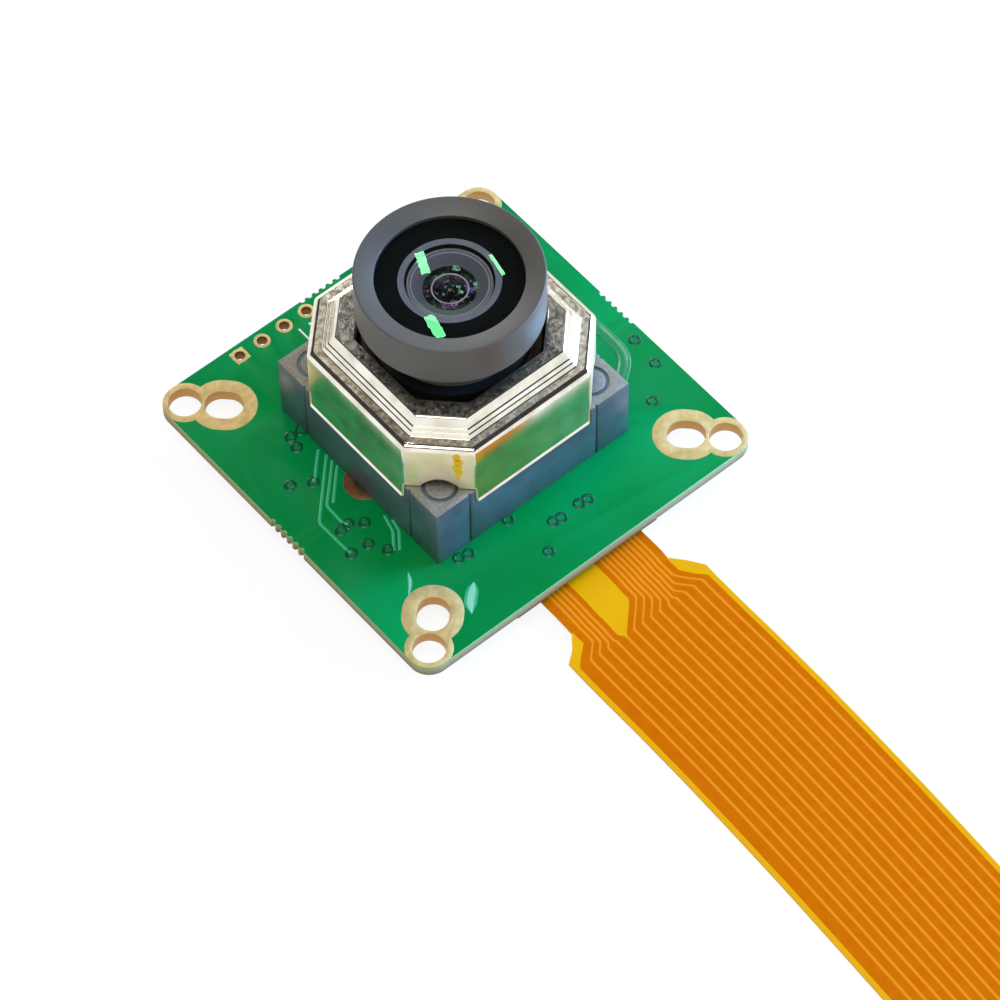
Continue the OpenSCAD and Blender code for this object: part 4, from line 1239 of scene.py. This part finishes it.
@dataclass
class FocusLens:
    """The screw-in lens that the actuator moves, with its glass."""

    nodes: dict[str, bpy.types.Object]
    head_radius: float = 8.3
    collar_radius: float = 6.5
    thread_radius: float = 6.0
    thread_pitch: float = 0.5
    thread_depth: float = 0.22
    bottom: float = 5.7
    head_low: float = 18.3
    front: float = 22.9
    rim: float = 22.4
    seat: float = 6.5
    glass_edge: float = 6.45
    shoulder: float = 22.05
    crown: float = 0.35
    glass_rear: float = 21.55
    hollow: float = 4.46
    hollow_depth: float = 0.06

    def build(self) -> None:
        """Build the barrel, its thread and the glass."""
        self.barrel()
        self.glass()
        self.inside()

    def barrel(self) -> None:
        """Build the turned barrel with its thread."""
        draft = Draft()
        head = rounded(
            [
                (self.thread_radius - self.thread_depth, self.head_low - 1.4),
                (self.collar_radius, self.head_low - 1.4),
                (self.collar_radius, self.head_low),
                (self.head_radius, self.head_low),
                (self.head_radius, self.front),
                (self.seat, self.rim),
                (self.seat, self.glass_rear - 0.1),
            ],
            (0.12, 0.08, 0.3, 0.22, 0.04),
            5,
        )
        draft.lathe(head, 160)
        steps, turns = 96, (self.head_low - 1.4 - self.bottom - 0.3) / self.thread_pitch
        rows = []
        section = ((0.0, 0.0), (0.35, 1.0), (0.5, 1.0), (0.85, 0.0))
        for turn in range(int(turns)):
            for along, high in section:
                radius = self.thread_radius - self.thread_depth * (1 - high)
                rows.append([
                    (
                        radius * math.cos(math.tau * k / steps),
                        radius * math.sin(math.tau * k / steps),
                        self.bottom + 0.3 + (turn + along) * self.thread_pitch,
                    )
                    for k in range(steps)
                ])
        draft.rings(rows)
        draft.lathe(
            [
                (3.85, self.bottom), (5.7, self.bottom), (5.78, self.bottom + 0.3),
                (5.78, self.bottom + 0.32),
            ],
            96,
        )
        made = draft.build("barrel_turned", (BlackAnodised(),), 40)
        placed(made, "lens", "black_anodised", ["lens_barrel"])

    def glass(self) -> None:
        """Build the front element: a shallow crown over a hollow rear face."""
        draft = Draft()
        edge, crown = self.glass_edge, self.crown
        top = [(edge * (1 - i / 24), self.shoulder + crown * (1 - (1 - i / 24) ** 2))
               for i in range(25)]
        low = [(self.hollow * i / 16, self.glass_rear + self.hollow_depth * (1 - (i / 16) ** 2))
               for i in range(17)]
        under = [(edge, self.glass_rear)]
        draft.lathe(under + top, 128, lambda row: 0 if row else 2)
        draft.lathe(low + under, 128, lambda row: 1 if row < len(low) - 1 else 2)
        finishes = (CoatedGlass("#5fe08c", 0.4), CoatedGlass("#5fe08c", 0.05), MattBlack())
        made = draft.build("front_glass", finishes, 50)
        placed(made, "lens", "lens_glass", ["front_element"])

    def inside(self) -> None:
        """Build what shows through the front element."""
        draft = Draft()
        rear = self.glass_rear - 0.02
        black, grey, frosted, bright, deep = range(5)
        draft.lathe([(6.47, rear), (self.hollow, rear)], 128, black)
        draft.lathe([(self.hollow, rear), (3.88, rear - 0.05)], 128, grey)
        draft.lathe([(3.88, rear - 0.05), (3.84, 20.7)], 96, black)
        draft.lathe([(3.84, 20.7), (3.74, 20.72)], 96, black)
        # The near-white rings are painted highlights: the bright double rim of the second element
        # and the light ring round the core.
        draft.lathe([(3.74, 20.72), (3.71, 21.02), (3.6, 21.08), (3.54, 20.94)], 96, bright)
        draft.lathe([(3.54, 20.94), (3.44, 20.86)], 96, frosted)
        draft.lathe([(3.44, 20.86), (3.4, 20.95), (3.34, 20.95), (3.29, 20.82)], 96, bright)
        draft.lathe([(3.29, 20.82), (3.0, 20.62), (2.7, 20.38), (2.42, 20.0)], 96, frosted)
        draft.lathe([(2.42, 20.0), (2.1, 19.9), (1.68, 20.0)], 96, deep)
        draft.lathe([(1.68, 20.0), (1.64, 20.06), (1.58, 20.06), (1.54, 20.0)], 96, bright)
        draft.lathe([(1.54, 20.0), (0.9, 20.12), (0.0, 20.18)], 64, deep)
        finishes = (
            MattBlack(),
            PlainPaint("seat_grey", "#7d878a", 0.4),
            PlainPaint("frosted_grey", "#959da0", 0.5),
            # painted highlight colour for the bright rings
            PlainPaint("painted_rim_highlight", "#f4f8f8", 0.4, 0.1),
            DeepGlassPaintedGlints(),
        )
        made = draft.build("lens_baffles", finishes, 30)
        placed(made, "lens", "black_anodised", ["front_spacer"])
        for node, finish in {
            "second_element": CoatedGlass("#63d98c"),
            "third_element": CoatedGlass("#c98bff"),
            "fourth_element": CoatedGlass("#c98bff"),
            "rear_element": CoatedGlass("#63d98c"),
            "rear_spacer": MattBlack(),
            "retaining_ring": MattBlack(),
        }.items():
            self.nodes[node].data.materials.clear()
            self.nodes[node].data.materials.append(finish.material())
            log.info("%s: dressed", node)


# ---------------------------------------------------------------- connector


@dataclass
class CableConnector:
    """The connector on the rear of the board, with its sliding latch."""

    nodes: dict[str, bpy.types.Object]

    def build(self) -> None:
        """Build the housing, the latch and the metal parts."""
        for node, name, body, slot, edge, finish in (
            ("connector_housing", "housing_moulding", "board", "connector_polymer", 0.06,
             PlainPaint("housing_nylon", "#e6ddc8", 0.45)),
            ("connector_latch", "latch_moulding", "latch", "latch_polymer", 0.04,
             PlainPaint("latch_nylon", "#231f1c", 0.4)),
            ("connector_contacts", "contact_springs", "board", "gold_contact", 0.02,
             CONTACT_GOLD),
            ("connector_anchors", "anchor_tabs", "board", "tin_plating", 0.03,
             TIN_PLATING),
        ):
            made = softened(self.nodes, node, name, edge, lambda m, n: 0, (finish,))
            placed(made, body, slot, [node])


# ---------------------------------------------------------------- flex cable


@dataclass
class FlexCable:
    """The flat cable: polyimide film over copper tracks, with a stiffener at each end."""

    nodes: dict[str, bpy.types.Object]
    thickness: float = 0.2
    neck: float = 11.5
    width: float = 15.8
    level: float = -1.0
    end_y: float = -14.05
    fan_start: float = -22.3
    fan_end: float = -25.6
    track_pitch: float = 0.985
    gap_half: float = 0.13
    edge_width: float = 0.5

    def route(self) -> list[tuple[float, float, float, float]]:
        """Return the centre line's points with the cable's width, from the connector outwards."""
        low = self.level - 0.89
        n, w = self.neck, self.width
        return [
            (0, self.end_y, -1, n), (0, -19.4, -1, n), (0, -20.4, -1, n), (0, -21.4, -1.06, n),
            (0, -22.4, -1.24, n), (0.1, -23.6, -1.46, (n + w) / 2), (0.1, -24.7, -1.64, w),
            (0.1, -26, -1.78, w), (0.1, -29, -1.88, w), (0.1, -34, low, w), (0, -40, low, w),
            (-0.2, -46, low, w), (-0.5, -53, low, w), (-0.9, -60, low, w), (-1.4, -68, low, w),
            (-2, -77, low, w), (-2.7, -87, low, w), (-3.4, -98, low, w), (-4.1, -110, low, w),
            (-4.6, -122, low, w), (-5, -134, low, w), (-5.3, -146, low, w),
            (-5.4, -152, -1.86, w), (-5.5, -156, -1.75, w), (-5.5, -165, -1.75, w),
        ]

    def build(self) -> None:
        """Build the cable and what is on it."""
        pieces = [self.film()]
        pieces += self.ends()
        points = self.route()
        length = sum(
            (Vector(a[:3]) - Vector(b[:3])).length for a, b in zip(points, points[1:])
        )
        [c * MM for c in points[0][:3]]
        [[c * MM for c in p[:3]] for p in points]
        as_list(pieces[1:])

    def seams(self) -> list[tuple[float, float, float, float]]:
        """Return each bare gap across the cable, from one edge to the other.

        Returns:
            Where the gap starts and ends in the neck, and where in the cable, as offsets
            from the centre line. The first and last gaps are the bare edges.
        """
        half, thin, bare = self.width / 2, self.gap_half, self.edge_width
        neck_half = self.neck / 2
        near = [-4.85, -4.35, -3.85, -3.35]
        far = [1.0 + 0.49 * k for k in range(9)]
        gaps = [(n - thin, n + thin) for n in near] + [(-2.75, 0.35)] + [
            (f - thin, f + thin) for f in far
        ]
        wide = [(i - 6.5) * self.track_pitch + 0.25 for i in range(len(gaps))]
        middle = [(a, b, w - thin, w + thin) for (a, b), w in zip(gaps, wide)]
        return (
            [(-neck_half, -neck_half + 0.12, -half, -half + bare)]
            + middle
            + [(neck_half - 0.12, neck_half, half - bare, half)]
        )

    def film(self) -> bpy.types.Object:
        """Build the film, with a narrow strip of faces over each gap between tracks."""
        route = self.route()
        draft = Draft()
        stations: list[tuple[Vector, Vector, float]] = []
        for i, (a, b) in enumerate(zip(route, route[1:])):
            count = max(1, int(abs(b[1] - a[1]) / (0.2 if a[1] > -27 else 2.0)))
            for k in range(count):
                stations.append(self.station(route, i, k / count))
        stations.append(self.station(route, len(route) - 2, 1.0))
        rows = []
        for centre, side, width in stations:
            rows.append([
                tuple(centre + side * s + Vector((0, 0, self.thickness / 2 + lift)))
                for s, lift in self.offsets(centre.y, width)
            ])
        count = len(rows[0])
        start = len(draft.points)
        draft.points.extend(p for row in rows for p in row)
        for r in range(len(rows) - 1):
            marks = self.marks(stations[r][0].y)[::-1]
            for i in range(count - 1):
                a = start + r * count + i
                draft.faces.append((a + 1, a, a + count, a + count + 1))
                draft.finishes.append(marks[i])
        under = [
            [
                tuple(centre + side * s * width / 2 + Vector((0, 0, z * self.thickness / 2)))
                for s, z in ((-1, 1), (-1, -1), (1, -1), (1, 1))
            ]
            for centre, side, width in stations
        ]
        draft.rings(under, 0, closed=False)
        finishes = (PolyimideFilm(), FilmOverCopper(), FilmBetweenTracks())
        made = draft.build("flex_film", finishes, 60)
        return placed(made, "board", "polyimide_film", ["flex_cable"])

    def station(
        self, route: Sequence[tuple], leg: int, t: float
    ) -> tuple[Vector, Vector, float]:
        """Return the centre, the sideways direction and the width part of the way along a leg.

        Args:
            route: The route's points.
            leg: Number of the leg between two of them.
            t: How far along the leg, from 0 to 1.

        Returns:
            The centre, the direction across the cable and the width.
        """

        def heading(i: int) -> Vector:
            """Return the route's level direction at a point, from its neighbours."""
            before, after = route[max(i - 1, 0)], route[min(i + 1, len(route) - 1)]
            return (Vector(after[:2]) - Vector(before[:2])).normalized()

        a, b = route[leg], route[leg + 1]
        way = heading(leg).lerp(heading(leg + 1), t)
        centre = Vector(a[:3]).lerp(Vector(b[:3]), t)
        return centre, Vector((-way.y, way.x, 0)), a[3] + (b[3] - a[3]) * t

    def marks(self, y: float) -> list[int]:
        """Return the finish of each strip of faces across the cable, at a place along it."""
        film, copper, between = 0, 1, 2
        bare_edge = film if y < self.fan_start else copper
        open_film = film if y > self.fan_end else between
        near = [bare_edge, copper] + [between, copper] * 4
        return near + [open_film, copper] + [between, copper] * 9 + [bare_edge]

    def offsets(self, y: float, width: float) -> list[tuple[float, float]]:
        """Return each edge between strips across the cable, with how far it stands up.

        Args:
            y: Place along the cable.
            width: Width of the cable there.

        Returns:
            Sideways place and lift of each edge, from one side to the other.
        """

        def along(neck: float, wide: float) -> float:
            """Follow one edge: straight in the neck, then at 45 degrees to its place."""
            start = self.fan_end + abs(wide - neck)
            t = min(1.0, max(0.0, (start - y) / max(1e-6, start - self.fan_end)))
            return neck + (wide - neck) * t

        half = width / 2
        edges = [e for a, b, c, d in self.seams() for e in (along(a, c), along(b, d))]
        edges[0], edges[-1] = -half, half
        edges = [min(half, max(-half, e)) for e in edges]
        return [(e, 0.0) for e in reversed(edges)]

    def ends(self) -> list[bpy.types.Object]:
        """Dress the stiffeners and contacts on the two ends."""
        finishes = {
            "near_stiffener": PlainPaint("stiffener_amber", "#c9860f", 0.4),
            "near_contacts": CONTACT_GOLD,
            "far_stiffener": PlainPaint("stiffener_blue", "#2c5fb0", 0.4),
            "far_contacts": CONTACT_GOLD,
        }
        for node, finish in finishes.items():
            self.nodes[node].data.materials.clear()
            self.nodes[node].data.materials.append(finish.material())
            log.info("%s: dressed", node)
        return [self.nodes[n] for n in finishes]


# ---------------------------------------------------------------- rear parts


@dataclass
class RearParts:
    """The surface-mounted parts on the rear of the board."""

    nodes: dict[str, bpy.types.Object]

    def build(self) -> None:
        """Build each kind of part with softened edges."""
        for node, name, slot, edge, finish in (
            ("power_inductors", "inductor_shields", "ferrite", 0.12,
             PlainPaint("ferrite", "#3d3e40", 0.55)),
            ("voltage_regulators", "regulator_cases", "chip_epoxy", 0.06,
             CHIP_EPOXY),
            ("regulator_leads", "regulator_pins", "tin_plating", 0.02,
             TIN_PLATING),
            ("clock_oscillator", "oscillator_lid", "lid_metal", 0.08,
             PlainPaint("lid_metal", "#c9c6bd", 0.25, 1.0)),
            ("actuator_driver", "driver_case", "chip_epoxy", 0.04,
             CHIP_EPOXY),
            ("memory_chip", "memory_case", "chip_epoxy", 0.04,
             CHIP_EPOXY),
            ("capacitor_bodies", "capacitor_ceramics", "capacitor_ceramic", 0.03,
             PlainPaint("capacitor_ceramic", "#9c7a55", 0.5)),
            ("capacitor_ends", "capacitor_caps", "tin_plating", 0.04,
             TIN_PLATING),
            ("resistor_bodies", "resistor_chips", "chip_epoxy", 0.02,
             PlainPaint("resistor_glaze", "#17181a", 0.3)),
            ("resistor_ends", "resistor_caps", "tin_plating", 0.04,
             TIN_PLATING),
        ):
            made = softened(self.nodes, node, name, edge, lambda m, n: 0, (finish,))
            placed(made, "board", slot, [node])


# ---------------------------------------------------------------- the studio


@dataclass
class Studio:
    """A plain pale floor, soft lamps and the camera."""

    camera_at: Point = (-158.374, -201.120, 365.635)
    camera_target: Point = (-1.961, -8.573, 0.0)
    camera_roll: float = -1.21
    focal_length: float = 181.04
    sensor_width: float = 36.0
    floor_level: float = -2.0
    sky: float = 0.38
    flag_radius: float = 760.0
    flag_height: float = 620.0
    crown_radius: float = 59.4
    strip_away: float = 560.0

    def build(self) -> None:
        """Build the camera, the lamps, the cards, the world and the floor."""
        self.camera()
        self.lamp("key_lamp", (-80, -60, 470), 260, 0.85, "#fff8ee")
        self.lamp("side_lamp", (430, -200, 140), 250, 5.8, "#86bcff")
        self.lamp("glint_lamp", (330, 45, 270), 110, 0.3, "#cfe2ff")
        self.lamp("back_lamp", (160, 420, 150), 200, 0.3, "#fffaf2")
        self.flag()
        self.strips()
        self.world()
        self.floor()

    def camera(self) -> None:
        """Place the camera at the viewing angle."""
        data = bpy.data.cameras.new("camera")
        data.lens = self.focal_length
        data.sensor_width = self.sensor_width
        data.clip_start = 0.01
        made = bpy.data.objects.new("camera", data)
        at, target = Vector(self.camera_at) * MM, Vector(self.camera_target) * MM
        turn = (target - at).to_track_quat("-Z", "Y")
        made.rotation_mode = "QUATERNION"
        made.rotation_quaternion = turn @ Quaternion((0, 0, 1), math.radians(self.camera_roll))
        made.location = at
        bpy.context.scene.collection.objects.link(made)
        bpy.context.scene.camera = made

    def lamp(self, name: str, at: Point, size: float, power: float, colour: str) -> None:
        """Add a soft square lamp that faces the module.

        Args:
            name: The lamp's name.
            at: Its place in millimetres.
            size: Its side in millimetres.
            power: Its power in watts.
            colour: Its colour.
        """
        data = bpy.data.lights.new(name, "AREA")
        data.size = size * MM
        data.energy = power
        data.color = linear(colour)[:3]
        made = bpy.data.objects.new(name, data)
        made.location = Vector(at) * MM
        made.rotation_mode = "QUATERNION"
        made.rotation_quaternion = (-made.location).to_track_quat("-Z", "Y")
        bpy.context.scene.collection.objects.link(made)

    def flag(self) -> None:
        """Hang a black card over the module, which shows only in its gloss and glass."""
        draft = Draft()
        draft.lathe([(self.flag_radius, self.flag_height), (0.0, self.flag_height)], 64)
        made = draft.build("black_card", (BlackCard(),))
        made.visible_camera = False
        made.visible_diffuse = False
        made.visible_shadow = False

    def strips(self) -> None:
        """Hang narrow strip lights, whose images stand as streaks on the front glass."""
        draft = Draft()
        eye, middle = Vector(self.camera_at), Vector((0, 0, 22.2))
        for a, b, wide in (
            ((-0.28, 3.75), (-1.32, 1.56), 7.0), ((4.19, -0.36), (3.66, -2.84), 3.2),
            ((-3.95, -1.88), (-4.5, -4.3), 9.0),
        ):
            ends = []
            for x, y in (a, b):
                at = middle + Vector((x, y, 0))
                facing = Vector((x / self.crown_radius, y / self.crown_radius, 1)).normalized()
                way = (eye - at).normalized()
                ends.append(at + (2 * facing.dot(way) * facing - way) * self.strip_away)
            out = (ends[0] + ends[1]) / 2 - middle
            side = (ends[1] - ends[0]).cross(out).normalized() * wide
            draft.add(
                [tuple(ends[0] - side), tuple(ends[1] - side), tuple(ends[1] + side),
                 tuple(ends[0] + side)],
                [(0, 1, 2, 3)],
            )
        made = draft.build("strip_lights", (StripLight(),))
        made.visible_camera = False
        made.visible_diffuse = False
        made.visible_shadow = False

    def world(self) -> None:
        """Make the surroundings white to the eye and in gloss and glass, and plain as light."""
        world = bpy.data.worlds.new("studio")
        world.use_nodes = True
        bpy.context.scene.world = world
        tree = world.node_tree
        tree.nodes.clear()
        path = add_node(tree, "ShaderNodeLightPath").outputs
        seen = add_node(
            tree,
            "ShaderNodeMath",
            {0: path["Is Camera Ray"], 1: path["Is Glossy Ray"]},
            operation="MAXIMUM",
        )
        through = add_node(
            tree,
            "ShaderNodeMath",
            {0: seen.outputs[0], 1: path["Is Transmission Ray"]},
            operation="MAXIMUM",
        )
        strength = add_node(
            tree, "ShaderNodeMix", {"Factor": through.outputs[0], "A": self.sky, "B": 1.0}
        )
        back = add_node(
            tree,
            "ShaderNodeBackground",
            {"Color": (1, 1, 1, 1), "Strength": strength.outputs["Result"]},
        )
        add_node(tree, "ShaderNodeOutputWorld", {"Surface": back.outputs[0]})

    def floor(self) -> None:
        """Lay the pale floor, which keeps a soft shadow."""
        draft = Draft()
        reach = 3000.0
        z = self.floor_level
        draft.add(
            [(-reach, -reach, z), (reach, -reach, z), (reach, reach, z), (-reach, reach, z)],
            [(0, 1, 2, 3)],
        )
        made = draft.build("floor", (FloorSheet(),))


@dataclass(frozen=True)
class BlackCard(Finish):
    """Black card: so dark that it is given the faint glow which it would send back."""

    def dress(self, tree: bpy.types.NodeTree, shader: bpy.types.Node) -> None:
        """Set black with a faint glow."""
        self.set(
            shader,
            Base_Color=(0, 0, 0, 1),
            Specular_IOR_Level=0.0,
            Emission_Color=linear("#ffffff"),
            Emission_Strength=0.04,
        )


@dataclass(frozen=True)
class StripLight(Finish):
    """A narrow strip lamp with a clear cover: bright enough to show in coated glass."""

    def dress(self, tree: bpy.types.NodeTree, shader: bpy.types.Node) -> None:
        """Set black with a strong glow."""
        self.set(
            shader,
            Base_Color=(0, 0, 0, 1),
            Emission_Color=linear("#ffffff"),
            Emission_Strength=30.0,
        )


@dataclass(frozen=True)
class FloorSheet(Finish):
    """White card: matt, and seen as plain white by the eye, by metal and by glass."""

    white_share: float = 0.82
    white_glow: float = 1.08

    def dress(self, tree: bpy.types.NodeTree, shader: bpy.types.Node) -> None:
        """Mix the matt card, which takes the shadow, with plain white."""
        self.set(shader, Base_Color=(0.86, 0.86, 0.86, 1), Roughness=1.0, Specular_IOR_Level=0.0)
        path = add_node(tree, "ShaderNodeLightPath")
        seen = add_node(
            tree,
            "ShaderNodeMath",
            {0: path.outputs["Is Camera Ray"], 1: path.outputs["Is Glossy Ray"]},
            operation="MAXIMUM",
        )
        share = add_node(
            tree,
            "ShaderNodeMath",
            {0: seen.outputs[0], 1: self.white_share},
            operation="MULTIPLY",
        )
        white = add_node(
            tree, "ShaderNodeEmission", {"Color": (1, 1, 1, 1), "Strength": self.white_glow}
        )
        mixed = add_node(
            tree,
            "ShaderNodeMixShader",
            {0: share.outputs[0], 1: shader.outputs[0], 2: white.outputs[0]},
        )
        output = next(n for n in tree.nodes if n.type == "OUTPUT_MATERIAL")
        tree.links.new(mixed.outputs[0], output.inputs["Surface"])


def main() -> None:
    """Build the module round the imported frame, then the studio."""
    logging.basicConfig(level=logging.INFO, format="%(name)s: %(message)s")
    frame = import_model()
    nodes = frame["nodes"]
    for part in (
        FlexCable(nodes),
        CircuitBoard(nodes),
        SensorStack(nodes),
        Actuator(nodes),
        FocusLens(nodes),
        CableConnector(nodes),
        RearParts(nodes),
        Studio(),
    ):
        log.info("building %s", type(part).__name__)
        part.build()
    bpy.context.scene.view_settings.view_transform = "Standard"


if __name__ == "__main__":
    main()
